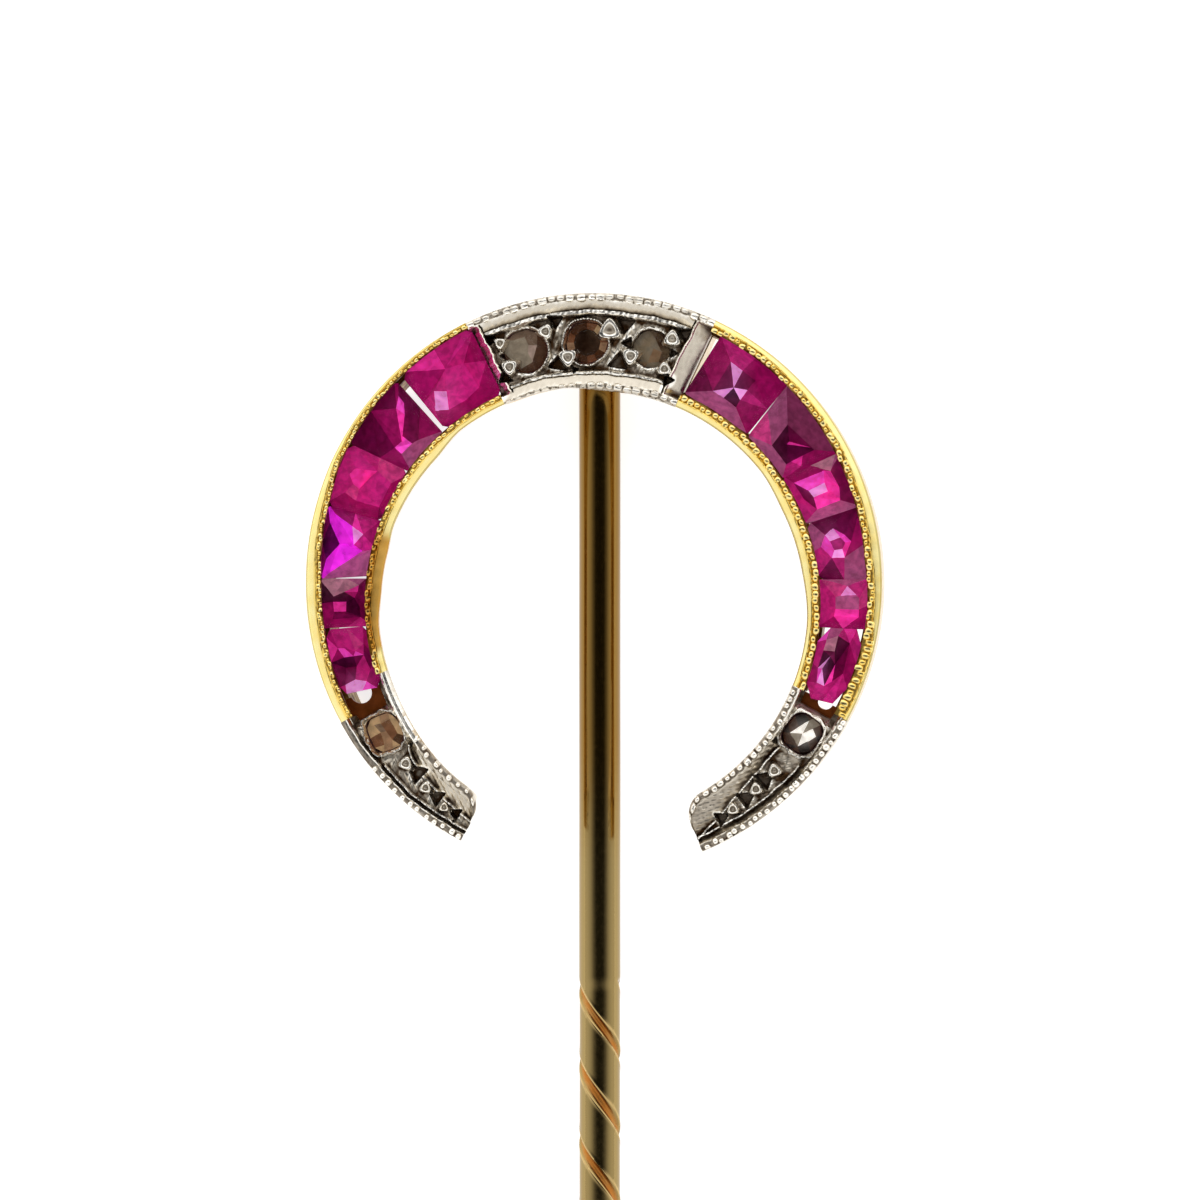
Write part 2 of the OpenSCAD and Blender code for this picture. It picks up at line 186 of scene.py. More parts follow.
@dataclass(frozen=True)
class HorseshoePlan:
    """Edges of the horseshoe in plan, as distances along a ray from the head's middle."""

    outer_r: float = 7.55
    inner_r: float = 5.6
    inner_drop: float = 0.6
    taper: float = 0.3
    taper_z: float = 2.02
    slim: float = 0.12
    lip_outer_r: float = 7.1
    lip_outer_rise: float = 0.14
    lip_inner_r: float = 5.95
    lip_inner_drop: float = 0.55
    right_end: float = -67.5
    left_end: float = 243.0
    corner_r: float = 0.55
    end_reach: float = 7.0
    end_run: float = 6.0
    back_bevel: float = 0.1
    outer_filing: Profile = (
        (-10, .12), (-5, .1), (0, .05), (5, 0), (100, 0), (112, .15), (155, .15), (160, .08),
        (170, .045), (180, 0), (190, .05), (200, .11), (206, .14))

    @staticmethod
    def on_ray(angle: Array, radius: float, rise: float) -> Array:
        """Distance at which a ray meets the circle of a radius round (0, rise)."""
        return rise * np.sin(angle) + np.sqrt(radius ** 2 - (rise * np.cos(angle)) ** 2)

    def outer_lip(self, angle: Array) -> Array:
        """Stone side of the outer rail, which the setter filed unevenly by hand."""
        wide = profile(np.degrees(angle), self.outer_filing)
        return self.on_ray(angle, self.lip_outer_r, self.lip_outer_rise) + wide

    def inner_lip(self, angle: Array) -> Array:
        """Stone side of the inner rail."""
        return self.on_ray(angle, self.lip_inner_r, -self.lip_inner_drop)

    def lip(self, edge: Edge, angle: Array) -> Array:
        """Stone side of a rail."""
        return self.outer_lip(angle) if edge is Edge.OUTER else self.inner_lip(angle)

    def from_inner_circle(self, angle: Array, reach: Array) -> Array:
        """Distance of a place from the circle that the inner edge follows."""
        drop = reach * np.sin(angle) + self.inner_drop
        return np.hypot(reach * np.cos(angle), drop) - self.inner_r

    def inner_curve(self, angle: Array) -> Array:
        """Inner edge of the horseshoe, with the small unevenness of work filed by hand.

        Args:
            angle: Angles in radians.

        Returns:
            Distance of the edge from the middle, before its corners are rounded.
        """
        turn = np.degrees(angle)
        narrow = self.slim * (smooth(turn, 205, 240) + between(turn, (85, 100), (130, 142)))
        wide = 0.08 * between(turn, (-12, 5), (20, 34)) + 0.07 * between(
            turn, (163, 172), (182, 192))
        return self.on_ray(angle, self.inner_r, -self.inner_drop) + narrow - wide

    def inner_edge(self, angle: Array) -> Array:
        """Inner edge of the horseshoe, with the corners of its two ends rounded.

        Args:
            angle: Angles in radians.

        Returns:
            Distance of the edge from the middle.
        """
        edge = self.inner_curve(angle)
        for end, way in ((self.right_end, 1), (self.left_end, -1)):
            gone = np.clip(way * (angle - math.radians(end)) * edge, 0.0, self.corner_r)
            left = self.corner_r - gone
            edge = edge + self.corner_r - np.sqrt(self.corner_r ** 2 - left ** 2)
        return edge

    def inner_wall(self, angle: Array, height: float) -> Array:
        """Inner wall at a height, which lies further out towards the back."""
        back = self.taper * max(0.0, 1.0 - height / self.taper_z)
        return np.maximum(self.inner_edge(angle), self.inner_curve(angle) + back)

    def wall(self, edge: Edge, angle: Array, height: float) -> Array:
        """Free wall of a rail at a height, the outer one with a bevel at its back.

        Args:
            edge: Rail that the wall belongs to.
            angle: Angles in radians.
            height: Height above the back.

        Returns:
            Distance of the wall from the middle.
        """
        if edge is Edge.OUTER:
            return np.full_like(angle, self.outer_r - max(0.0, self.back_bevel - height))
        return self.inner_wall(angle, height)

    def end_angle(self, angle: Array, height: float) -> Array:
        """Angle of a wall's point: towards the back the two ends are drawn in.

        Args:
            angle: Angles in radians.
            height: Height above the back.

        Returns:
            The new angles.
        """
        back = self.taper / self.end_reach * max(0.0, 1.0 - height / self.taper_z)
        turn = np.degrees(angle)
        left = smooth(turn, self.left_end - self.end_run, self.left_end)
        right = 1 - smooth(turn, self.right_end, self.right_end + self.end_run)
        return angle + back * (right - left)


PLAN = HorseshoePlan()


def place_object(name: str, data: bpy.types.ID) -> bpy.types.Object:
    """Puts a mesh, lamp or camera into the scene.

    Args:
        name: Name of the object.
        data: What it shows.

    Returns:
        The object.
    """
    made = bpy.data.objects.new(name, data)
    bpy.context.scene.collection.objects.link(made)
    return made


@dataclass
class Draft:
    """Closed shells of one piece, before they become a Blender mesh."""

    points: list[Array] = field(default_factory=list)
    faces: list[list[int]] = field(default_factory=list)
    slots: list[int] = field(default_factory=list)
    recess: list[Array] = field(default_factory=list)
    tones: list[Array] = field(default_factory=list)
    count: int = 0

    def add(
        self,
        points: Array,
        faces: Sequence[Sequence[int]],
        slots: Sequence[int] | None = None,
        recess: Array | None = None,
        tones: Array | None = None,
        soften: float = 0.0,
    ) -> None:
        """Adds a closed shell, turned so that its faces look outwards.

        Args:
            points: One point a row, in head millimetres.
            faces: Corners of each face.
            slots: Material slot of each face, the first one if left out.
            recess: From -1 where a point stands proud to 1 deep in a recess; proud points take wear
                with painted highlight, recessed ones film with painted shade.
            tones: Colour of each face, white if left out.
            soften: How far a face's colour runs into its neighbours', from 0 to 1.
        """
        corners = [(f[0], f[i], f[i + 1]) for f in faces for i in range(1, len(f) - 1)]
        a, b, c = (points[np.array([t[k] for t in corners])] for k in range(3))
        if float(np.einsum("ij,ij->i", a, np.cross(b, c)).sum()) < 0:
            faces = [list(reversed(f)) for f in faces]
        tones = np.ones((len(faces), 3)) if tones is None else np.asarray(tones)
        colours = np.repeat(tones, [len(f) for f in faces], axis=0)
        if soften:
            at = np.concatenate(faces)
            total = np.zeros((len(points), 3))
            np.add.at(total, at, colours)
            share = np.bincount(at, minlength=len(points))[:, None]
            colours = colours + soften * ((total / np.maximum(share, 1))[at] - colours)
        self.faces += [[i + self.count for i in f] for f in faces]
        self.points.append(points)
        self.recess.append(np.zeros(len(points)) if recess is None else recess)
        self.slots += list(slots) if slots is not None else [0] * len(faces)
        self.tones.append(colours)
        self.count += len(points)

    def build(
        self, name: str, materials: Sequence[bpy.types.Material], crease: float | None = 38.0
    ) -> bpy.types.Object:
        """Makes the object in the scene.

        Args:
            name: Name of the piece.
            materials: Materials in the order of their slots.
            crease: Angle in degrees above which an edge is sharp; None keeps facets flat.

        Returns:
            The new object.
        """
        mesh = bpy.data.meshes.new(name)
        mesh.from_pydata(HEAD.to_row(np.concatenate(self.points)).tolist(), [], self.faces)
        for material in materials:
            mesh.materials.append(material)
        mesh.polygons.foreach_set("material_index", self.slots)
        mesh.polygons.foreach_set("use_smooth", [crease is not None] * len(self.faces))
        mark = mesh.attributes.new("recess", "FLOAT", "POINT")
        mark.data.foreach_set("value", np.concatenate(self.recess).astype(np.float32))
        tone = mesh.color_attributes.new("tone", "FLOAT_COLOR", "CORNER")
        colours = np.concatenate(self.tones)
        colours = np.column_stack([colours, np.ones(len(colours))])
        tone.data.foreach_set("color", colours.astype(np.float32).ravel())
        if crease is not None:
            mesh.set_sharp_from_angle(angle=math.radians(crease))
        mesh.update()
        return place_object(name, mesh)


class Part(Protocol):
    """Anything that adds its shells to a draft."""

    def build(self, draft: Draft) -> None:
        """Adds the shells."""


def loop_shell(points: Array) -> tuple[Array, list[list[int]]]:
    """Skins a row of closed loops, with a face over the first and the last.

    Args:
        points: Grid of loops, corners and coordinates.

    Returns:
        The points, one a row, and the faces.
    """
    rows, cols = points.shape[:2]
    index = np.arange(rows * cols).reshape(rows, cols)
    onward = np.roll(index, -1, axis=1)
    quads = np.stack([index[:-1], onward[:-1], onward[1:], index[1:]], axis=-1)
    faces = quads.reshape(-1, 4).tolist()
    faces.append(index[0, ::-1].tolist())
    faces.append(index[-1].tolist())
    return points.reshape(-1, 3), faces


def arc_points(angle: Array | float, reach: Array, height: Array | float) -> Array:
    """Points at an angle, a distance from the middle and a height.

    Args:
        angle: Angles in radians.
        reach: Distances from the middle.
        height: Heights above the back.

    Returns:
        Coordinates in the last axis.
    """
    angle, reach, height = np.broadcast_arrays(angle, reach, height)
    return np.stack([reach * np.cos(angle), reach * np.sin(angle), height], axis=-1)


def arc_grid(angle: Array, loop: Sequence[tuple[Array, float]]) -> Array:
    """Loops at a column of angles, from the distance and height of each corner."""
    return np.concatenate([arc_points(angle, reach, z) for reach, z in loop], axis=1)


@dataclass(frozen=True)
class BeadRow:
    """Millgrain: a row of beads rolled or cut along a rail."""

    pitch: float
    width: float
    rise: float
    seed: int
    uneven: float = 0.12
    fill: float = 0.5
    power: float = 2.2

    def height(self, along: Array, across: Array) -> Array:
        """Height of the beads above their bed.

        Args:
            along: Place along the row, in millimetres.
            across: Distance from the row's middle line.

        Returns:
            Height at each place.
        """
        rng = np.random.default_rng(self.seed)
        cell = np.floor(along / self.pitch).astype(int)
        cell = cell - cell.min()
        many = int(cell.max()) + 1
        size = 1.0 + self.uneven * (rng.random(many) - 0.6)
        slip = self.uneven * self.pitch * (rng.random(many) - 0.5)
        side = self.uneven * self.width * (rng.random(many) - 0.5)
        here = (along / self.pitch - np.floor(along / self.pitch) - 0.5) * self.pitch
        u = (here - slip[cell]) / (self.fill * self.pitch * size[cell])
        v = (across - side[cell]) / (0.5 * self.width * size[cell])
        square = np.clip(1.0 - (np.abs(u) ** self.power + np.abs(v) ** self.power), 0.0, 1.0)
        return self.rise * size[cell] * np.sqrt(square)


def across_facing(inner: Array, cols: int) -> Array:
    """Distances of a facing's columns from the middle, from its outer edge to its inner one."""
    outer = PLAN.outer_r - EDGE_IN
    return outer + (inner - outer) * np.linspace(0, 1, cols)[None, :]


def edge_round(inward: Array, radius: float) -> Array:
    """Fall of a rounded edge, from 0 at its inner side to -radius at the wall."""
    near = np.clip(radius - inward, 0.0, radius)
    return np.sqrt(radius ** 2 - near ** 2) - radius


def hand_marks(x: Array, y: Array, seed: int) -> Array:
    """Small uneven marks that a graver leaves in a cut field.

    Args:
        x: Places along X.
        y: Places along Y.
        seed: Number that sets the marks.

    Returns:
        Height of the marks at each place, mostly from -1 to 1.
    """
    rng = np.random.default_rng(seed)
    total = np.zeros_like(x)
    for wave in (0.11, 0.14, 0.19, 0.27, 0.4):
        turn, start = rng.random(2) * 2 * math.pi
        along = x * math.cos(turn) + y * math.sin(turn)
        total = total + np.sin(2 * math.pi * along / wave + start)
    return total / 3.0


def relief_marks(height: Array, film_and_shade: Array) -> Array:
    """Marks of proud and recessed places on a relief, for wear with painted highlight and for film
    with painted shade.

    Args:
        height: Heights of the relief.
        film_and_shade: Film and painted shade that a place holds apart from its depth.

    Returns:
        From -1 where a place stands proud to 1 deep in a recess.
    """
    low = np.clip((blurred(height, LOW_REACH) - height - LOW_FROM) / LOW_RUN, 0, 1)
    proud = np.clip((height - blurred(height, PROUD_REACH) - PROUD_FROM) / PROUD_RUN, 0, 1)
    return np.clip(low + film_and_shade * (1 - proud) - proud, -1, 1)


# Finishes


class Slot(Enum):
    """Material slots of the record."""

    GOLD = "gold"
    PLATINUM = "platinum"
    RUBY = "ruby"
    DIAMOND = "diamond"


class Nodes:
    """Adds nodes to the tree of a material, the world or a group."""

    def __init__(self, tree: bpy.types.NodeTree) -> None:
        """Keeps the tree."""
        self.tree = tree

    def node(self, kind: str, links: dict[str | int, object], **values: object) -> bpy.types.Node:
        """Adds a node with its settings.

        Args:
            kind: Blender's name of the node type, without ShaderNode.
            links: Input sockets, each with an output to link or a plain value.
            **values: Settings of the node.

        Returns:
            The node.
        """
        node = self.tree.nodes.new("ShaderNode" + kind)
        for name, value in values.items():
            setattr(node, name, value)
        self.feed(node, links)
        return node

    def feed(self, node: bpy.types.Node, links: dict[str | int, object]) -> None:
        """Links outputs to a node's input sockets, or sets the sockets' plain values.

        Args:
            node: Node that is fed.
            links: Input sockets, each with an output to link or a plain value.
        """
        for key, value in links.items():
            if isinstance(value, bpy.types.NodeSocket):
                self.tree.links.new(value, node.inputs[key])
            else:
                node.inputs[key].default_value = value

    def math(self, operation: str, *values: object, clamp: bool = False) -> Output:
        """Result of a calculation with outputs or plain numbers."""
        links = dict(enumerate(values))
        return self.node("Math", links, operation=operation, use_clamp=clamp).outputs[0]

    def noise(self, scale: object, detail: float, **more: object) -> Output:
        """Noise over the piece's own space.

        Args:
            scale: Scale of the noise, a number or an output.
            detail: Number of finer steps.
            **more: Further settings of the noise.

        Returns:
            The noise, from 0 to 1.
        """
        place = self.node("TexCoord", {}).outputs["Object"]
        links = {"Vector": place, "Scale": scale, "Detail": detail, **more}
        return self.node("TexNoise", links).outputs["Fac"]

    def spread(self, value: Output, ends: tuple[float, float], low: object, high: object) -> Output:
        """Maps the two ends of a value to a low and a high result.

        Args:
            value: Value that is mapped.
            ends: Its lowest and its highest value.
            low: Result at the lowest.
            high: Result at the highest.

        Returns:
            The result.
        """
        return self.node("MapRange", {
            "Value": value, "From Min": ends[0], "From Max": ends[1], "To Min": low,
            "To Max": high}).outputs["Result"]

    def mix(self, share: object, first: object, second: object, blend: str = "MIX") -> Output:
        """Mix of two colours."""
        return self.node("Mix", {0: share, 6: first, 7: second}, data_type="RGBA",
                         blend_type=blend).outputs[2]

    def attribute(self, name: str, output: str) -> Output:
        """Marks or colours that the mesh carries."""
        return self.node("Attribute", {}, attribute_name=name).outputs[output]


class GroupMaker(Nodes):
    """Builds a shader node group with named inputs and outputs."""

    def __init__(self, name: str, inputs: dict[str, float | Colour], outputs: dict[str, str]
                 ) -> None:
        """Starts an empty group.

        Args:
            name: Name of the group.
            inputs: Its inputs with their values: a number, or a colour.
            outputs: Its outputs with the kind of each, Float or Color.
        """
        super().__init__(bpy.data.node_groups.new(name, "ShaderNodeTree"))
        for label, value in inputs.items():
            colour = isinstance(value, tuple)
            self.socket(label, "Color" if colour else "Float", "INPUT").default_value = (
                (*value, 1.0) if colour else value)
        for label, kind in outputs.items():
            self.socket(label, kind, "OUTPUT")
        self.source = self.tree.nodes.new("NodeGroupInput")
        self.result = self.tree.nodes.new("NodeGroupOutput")

    def socket(self, name: str, kind: str, way: str) -> bpy.types.NodeTreeInterfaceSocket:
        """Adds a socket to the group."""
        return self.tree.interface.new_socket(name, in_out=way, socket_type="NodeSocket" + kind)

    def take(self, name: str) -> Output:
        """Socket that brings in one of the group's inputs."""
        return self.source.outputs[name]

    def finish(self, **results: Output) -> bpy.types.NodeTree:
        """Sends the results out of the group and hands the group over."""
        self.feed(self.result, results)
        return self.tree


class SharedEffects:
    """Shader node groups that several finishes use, each built once."""

    def __init__(self) -> None:
        """Builds every group."""
        self.handwork = self._handwork()
        self.tarnish_shade_highlight = self._tarnish_shade_highlight()
        self.depths = self._depths()

    @staticmethod
    def _handwork() -> bpy.types.NodeTree:
        """Group for dents and polishing lines of hand-finished metal.

        Returns:
            The group, which puts out a height and a roughness.
        """
        group = GroupMaker(
            "handwork",
            {"Fine Scale": 9000.0, "Dent Scale": 1500.0, "Smooth": 0.1, "Rough": 0.3},
            {"Height": "Float", "Roughness": "Float"})
        fine = group.noise(group.take("Fine Scale"), 3.0)
        dents = group.noise(group.take("Dent Scale"), 2.0)
        return group.finish(
            Height=group.math("ADD", group.math("MULTIPLY", fine, 0.35), dents),
            Roughness=group.spread(fine, (0.3, 0.7), group.take("Smooth"), group.take("Rough")))

    @staticmethod
    def _tarnish_shade_highlight() -> bpy.types.NodeTree:
        """Group for old metal: worn bright with painted highlight where it is proud, with a brown
        film and painted shade in its recesses.

        Returns:
            The group, which puts out a colour and the mask of its film and painted shade.
        """
        group = GroupMaker(
            "tarnish_shade_highlight",
            {"Worn and Highlight": (1.0, 1.0, 1.0), "Clean": (0.9, 0.9, 0.9), "Film and Shade": (0.1, 0.05, 0.02),
             "Amount": 1.0, "Patch Scale": 2500.0},
            {"Colour": "Color", "Mask": "Float"})
        patch = group.spread(group.noise(group.take("Patch Scale"), 4.0), (0.3, 0.7), 0.55, 1.25)
        held = group.math("MULTIPLY", group.attribute("recess", "Fac"), patch)
        # Film and painted shade in the recesses.
        mask = group.math("MULTIPLY", held, group.take("Amount"), clamp=True)
        # Wear and painted highlight: proud places turn towards the worn colour.
        proud = group.math("MULTIPLY", held, -1.3, clamp=True)
        base = group.mix(proud, group.take("Clean"), group.take("Worn and Highlight"))
        toned = group.mix(1.0, base, group.attribute("tone", "Color"), "MULTIPLY")
        return group.finish(Colour=group.mix(mask, toned, group.take("Film and Shade")), Mask=mask)

    @staticmethod
    def _depths() -> bpy.types.NodeTree:
        """Group for the toned facets at the back of a stone, clouded a little.

        Returns:
            The group, which puts out a colour.
        """
        group = GroupMaker(
            "stone_depths",
            {"Cloud": (0.5, 0.1, 0.3), "Cloud Amount": 0.2, "Cloud Scale": 3000.0,
             "Grain Scale": 5500.0, "Grain Low": 0.78, "Grain High": 1.22},
            {"Colour": "Color"})
        silk = group.noise(group.take("Cloud Scale"), 5.0, Roughness=0.65)
        veil = group.spread(silk, (0.42, 0.75), 0.0, group.take("Cloud Amount"))
        grain = group.noise(group.take("Grain Scale"), 3.0, Roughness=0.5, Distortion=0.3)
        patch = group.spread(grain, (0.35, 0.65), group.take("Grain Low"),
                             group.take("Grain High"))
        mottled = group.node("VectorMath", {
            0: group.attribute("tone", "Color"), "Scale": patch}, operation="SCALE")
        return group.finish(
            Colour=group.mix(veil, mottled.outputs["Vector"], group.take("Cloud")))


class NewMaterial(Nodes):
    """A material with one Principled shader, ready for its nodes."""

    def __init__(self, name: str, **plain: object) -> None:
        """Makes the material.

        Args:
            name: Name of the material.
            **plain: Plain values of the shader, its sockets' names with _ for a space.
        """
        self.material = bpy.data.materials.new(name)
        self.material.use_nodes = True
        super().__init__(self.material.node_tree)
        self.shader = self.tree.nodes["Principled BSDF"]
        self.feed(self.shader, {key.replace("_", " "): value for key, value in plain.items()})

    def place(self, group: bpy.types.NodeTree, values: dict[str, object]) -> dict[str, Output]:
        """Places a shared group with values of its own.

        Args:
            group: Shared group.
            values: Its inputs, each with an output to link or a plain value.

        Returns:
            The group's outputs by name.
        """
        placed = self.node("Group", {}, node_tree=group)
        self.feed(placed, values)
        return {socket.name: socket for socket in placed.outputs}

    def bump(self, height: Output, strength: float, depth: float) -> Output:
        """Normal of a bump with a depth in millimetres."""
        return self.node("Bump", {
            "Strength": strength, "Distance": depth / MM, "Height": height}).outputs["Normal"]


@dataclass(frozen=True)
class MetalFinish:
    """Polished precious metal, worn bright with painted highlight where it stands proud, and filmed
    with painted shade in its recesses.
    """

    name: str
    worn_and_highlight: Colour
    clean: Colour
    film_and_shade: Colour
    smooth: float
    rough: float
    bump: float
    bump_depth: float
    film_and_shade_dulls: float = 0.3

    def material(self, effects: SharedEffects) -> bpy.types.Material:
        """Makes the metal's material.

        Args:
            effects: Shared node groups.

        Returns:
            The material.
        """
        new = NewMaterial(self.name, Metallic=1.0)
        film_and_shade = new.place(effects.tarnish_shade_highlight, {
            "Worn and Highlight": (*self.worn_and_highlight, 1.0), "Clean": (*self.clean, 1.0), "Film and Shade": (*self.film_and_shade, 1.0)})
        work = new.place(effects.handwork, {"Smooth": self.smooth, "Rough": self.rough})
        new.feed(new.shader, {
            "Base Color": film_and_shade["Colour"],
            "Roughness": new.math("MULTIPLY_ADD", film_and_shade["Mask"], self.film_and_shade_dulls,
                                  work["Roughness"]),
            "Normal": new.bump(work["Height"], self.bump, self.bump_depth)})
        return new.material


@dataclass(frozen=True)
class CrownFinish:
    """Clear polished front of a stone."""

    name: str
    tint: Colour
    roughness: float
    ior: float
    bump: float = 0.12
    bump_depth: float = 0.01

    def material(self, effects: SharedEffects) -> bpy.types.Material:
        """Makes the material of the stone's front.

        Args:
            effects: Shared node groups.

        Returns:
            The material.
        """
        new = NewMaterial(self.name, Base_Color=(*self.tint, 1.0), Transmission_Weight=1.0,
                          Roughness=self.roughness, IOR=self.ior)
        work = new.place(effects.handwork, {"Fine Scale": 6000.0, "Dent Scale": 2200.0})
        new.feed(new.shader, {"Normal": new.bump(work["Height"], self.bump, self.bump_depth)})
        return new.material


@dataclass(frozen=True)
class DepthFinish:
    """Back facets of a stone, toned in painted patches of light and dark, with a painted glow."""

    name: str
    cloud: Colour
    cloud_amount: float
    metallic: float
    roughness: float
    glow: float

    def material(self, effects: SharedEffects) -> bpy.types.Material:
        """Makes the material of the stone's back.

        Args:
            effects: Shared node groups.

        Returns:
            The material.
        """
        new = NewMaterial(self.name, Metallic=self.metallic, Roughness=self.roughness,
                          Specular_IOR_Level=0.0, Emission_Strength=self.glow)
        colour = new.place(effects.depths, {
            "Cloud": (*self.cloud, 1.0), "Cloud Amount": self.cloud_amount})["Colour"]
        # Painted glow: the facets' painted colours are also sent out as light, for the rubies
        # partly their own red fluorescence.
        new.feed(new.shader, {"Base Color": colour, "Emission Color": colour})
        return new.material


# Each metal: a worn colour with painted highlight for proud places, a clean colour, and a film
# colour with painted shade for recesses.
GOLD = MetalFinish("gold_head", (0.95, 0.82, 0.37), (0.95, 0.67, 0.16), (0.1, 0.025, 0.002),
                   0.14, 0.26, 0.25, 0.02)
STEM_GOLD = MetalFinish("gold_stem", (0.75, 0.52, 0.22), (0.33, 0.235, 0.09),
                        (0.5, 0.19, 0.035), 0.08, 0.16, 0.12, 0.01)
PLATINUM = MetalFinish("platinum", (1.0, 0.96, 0.88), (0.66, 0.6, 0.5), (0.07, 0.035, 0.015),
                       0.16, 0.34, 0.35, 0.02)
RUBY_CROWN = CrownFinish("ruby_crown", (1.0, 0.72, 0.9), 0.02, 1.12)
RUBY_DEPTHS = DepthFinish("ruby_depths", (0.85, 0.06, 0.45), 0.05, 0.3, 0.3, 0.3)
DIAMOND_CROWN = CrownFinish("diamond_crown", (1.0, 0.96, 0.9), 0.03, 1.15)
DIAMOND_DEPTHS = DepthFinish("diamond_depths", (0.4, 0.28, 0.2), 0.05, 0.2, 0.3, 0.55)
CLOUDY_DEPTHS = DepthFinish("cloudy_depths", (0.3, 0.22, 0.13), 0.8, 0.1, 0.4, 0.1)


# Metalwork


@dataclass(frozen=True)
class GoldRail:
    """One gold rail of the channel, with its wall, its lip over the stones and its ledge."""

    arm: Arm
    edge: Edge
    start: float
    stop: float
    beads: BeadRow
    bead_bed: float = 0.06
    pitch: float = 0.64
    step: float = 0.016
    cols: int = 28
    first_share: float = 0.045
    lip_z: float = 2.0
    lip_fall: float = 0.03
    lip_soft: float = 0.01
    ledge_z: float = 1.585
    undercut: float = 0.07
    ledge: float = 0.06
    wall_z: tuple[float, ...] = (0.0, 0.1, 0.7, 1.4, 1.75, 1.85)
    # Angles of a stretch whose front carries a darker, redder painted reflection.
    dark: tuple[float, float] = (400.0, 400.0)
    broad_below: float = -400.0
    broaden: float = 0.7
    broad_run: float = 8.0
    # Colour of that painted reflection.
    painted_reflection_tone: Colour = (0.62, 0.42, 0.22)
    # Painted shade on the front's outermost columns.
    rim_shade: float = 0.62
    # Film and painted shade under the lip, in the undercut and on the ledge.
    hidden_film_and_shade: float = 0.9

    def relief(self, angle: Array, share: Array) -> tuple[Array, Array, Array]:
        """Front of the rail, from its free edge to its lip.

        Args:
            angle: Angles in radians.
            share: Place across the rail, 0 at the free edge and 1 at the lip.

        Returns:
            Distance from the middle, height and marks of proud and recessed places.
        """
        outer = self.edge is Edge.OUTER
        rim = PLAN.outer_r if outer else PLAN.inner_edge(angle)
        lip = PLAN.lip(self.edge, angle)
        reach = rim + (lip - rim) * share
        along = angle * (PLAN.lip_outer_r if outer else PLAN.lip_inner_r)
        inward = np.abs(reach - rim)
        from_lip = np.abs(lip - reach) + waver(along, 0.02, self.beads.seed)
        narrow = smooth(
            np.degrees(angle), self.broad_below, self.broad_below + self.broad_run)
        broad = 1 + self.broaden * (1 - narrow)
        middle = 0.5 * self.beads.width * broad + 0.01
        in_bed = 1.0 - smooth(from_lip, 2 * middle - 0.03, 2 * middle + 0.035)
        crevice = 1.0 - smooth(from_lip, 0.01, 0.05)
        bead = self.beads.height(along, (from_lip - middle) / broad)
        free = np.clip(np.abs(lip - rim) - 2 * middle, 0.05, 0.34)
        height = RAIL_Z - self.bead_bed * in_bed + self.shoulder(inward, free) + bead
        height = height + waver(along, 0.008, self.beads.seed + 1)
        on_bead = bead / self.beads.rise
        # Film with painted shade in the beads' bed and the crevice at the lip; wear and painted
        # highlight on the bead tops and along the band.
        low = (0.5 * in_bed + 0.9 * crevice) * np.clip(1.0 - 1.7 * on_bead, 0, 1)
        band = smooth(inward, 0.0, 0.05) * (1 - smooth(inward - 0.8 * free, -0.05, 0.05))
        proud = 0.6 * smooth(on_bead, 0.55, 0.95) + 0.7 * band * (1 - in_bed)
        return reach, height, np.clip(low - proud, -1, 1)

    def shoulder(self, inward: Array, free: Array) -> Array:
        """Fall of the rail's band, which slopes from its beads to its free edge.

        Args:
            inward: Distance from the free edge.
            free: Width of the band.

        Returns:
            Height at each place, 0 or less.
        """
        near = np.clip(1 - inward / free, 0.0, 1.0)
        return -self.pitch * free * (0.75 * near + 0.25 * near ** 2) + 0.3 * edge_round(
            inward, 0.08)

    def tones(self, angle: Array, cols: int) -> Array:
        """Colour of each face: walls in painted shade, a rim in painted shade and a stretch with a
        darker painted reflection.

        Args:
            angle: Angles at which the rail is skinned.
            cols: Corners of each loop.

        Returns:
            One colour a face.
        """
        # Painted reflection: a darker, redder colour over the stretch between start and stop.
        start, stop = self.dark
        turn = np.degrees(angle[:-1])
        far = between(turn, (start, start + 5.0), (stop, stop + 3.0))
        shade = 1.0 + far * (np.array(self.painted_reflection_tone) - 1.0)
        rim = len(self.wall_z) - 1
        cover = np.ones((cols, 3))
        # Painted shade on the four front columns next to the free edge.
        cover[rim:rim + 4] = self.rim_shade
        cover = np.minimum(shade[:, None], cover)
        # Painted shade on the walls.
        cover[:, :rim] = WALL_SHADE_TONE
        return np.concatenate([cover.reshape(-1, 3), np.ones((2, 3))])

    def build(self, draft: Draft) -> None:
        """Adds the rail to a draft.

        Args:
            draft: Piece that the rail belongs to.
        """
        span = math.radians(self.stop - self.start)
        rows = int(abs(span) * PLAN.outer_r / self.step) + 1
        angle = np.linspace(math.radians(self.start), math.radians(self.stop), rows)[:, None]
        share = np.linspace(self.first_share, 1.0, self.cols)[None, :]
        reach, height, marks = self.relief(angle, share)
        lip = PLAN.lip(self.edge, angle)
        inwards = -1.0 if self.edge is Edge.OUTER else 1.0
        under, foot = lip - inwards * self.undercut, lip + inwards * self.ledge
        wall = arc_grid(angle, [(PLAN.wall(self.edge, angle, z), z) for z in self.wall_z])
        back = arc_grid(angle, [
            (lip, self.lip_z + self.lip_fall), (lip - inwards * self.lip_soft, self.lip_z),
            (under, self.lip_z), (under, self.ledge_z), (foot, self.ledge_z), (foot, 0.0)])
        grid = np.concatenate([wall, arc_points(angle, reach, height), back], axis=1)
        recess = np.concatenate([
            np.zeros(wall.shape[:2]), marks, np.full(back.shape[:2], self.hidden_film_and_shade)], axis=1)
        points, faces = loop_shell(grid)
        draft.add(points, faces, recess=recess.ravel(), tones=self.tones(angle, grid.shape[1]))


@dataclass(frozen=True)
class Hole:
    """Drilled hole in the floor between the rails, and the angle of the floor's far end."""

    at: float
    reach: float
    radius: float
    far: float


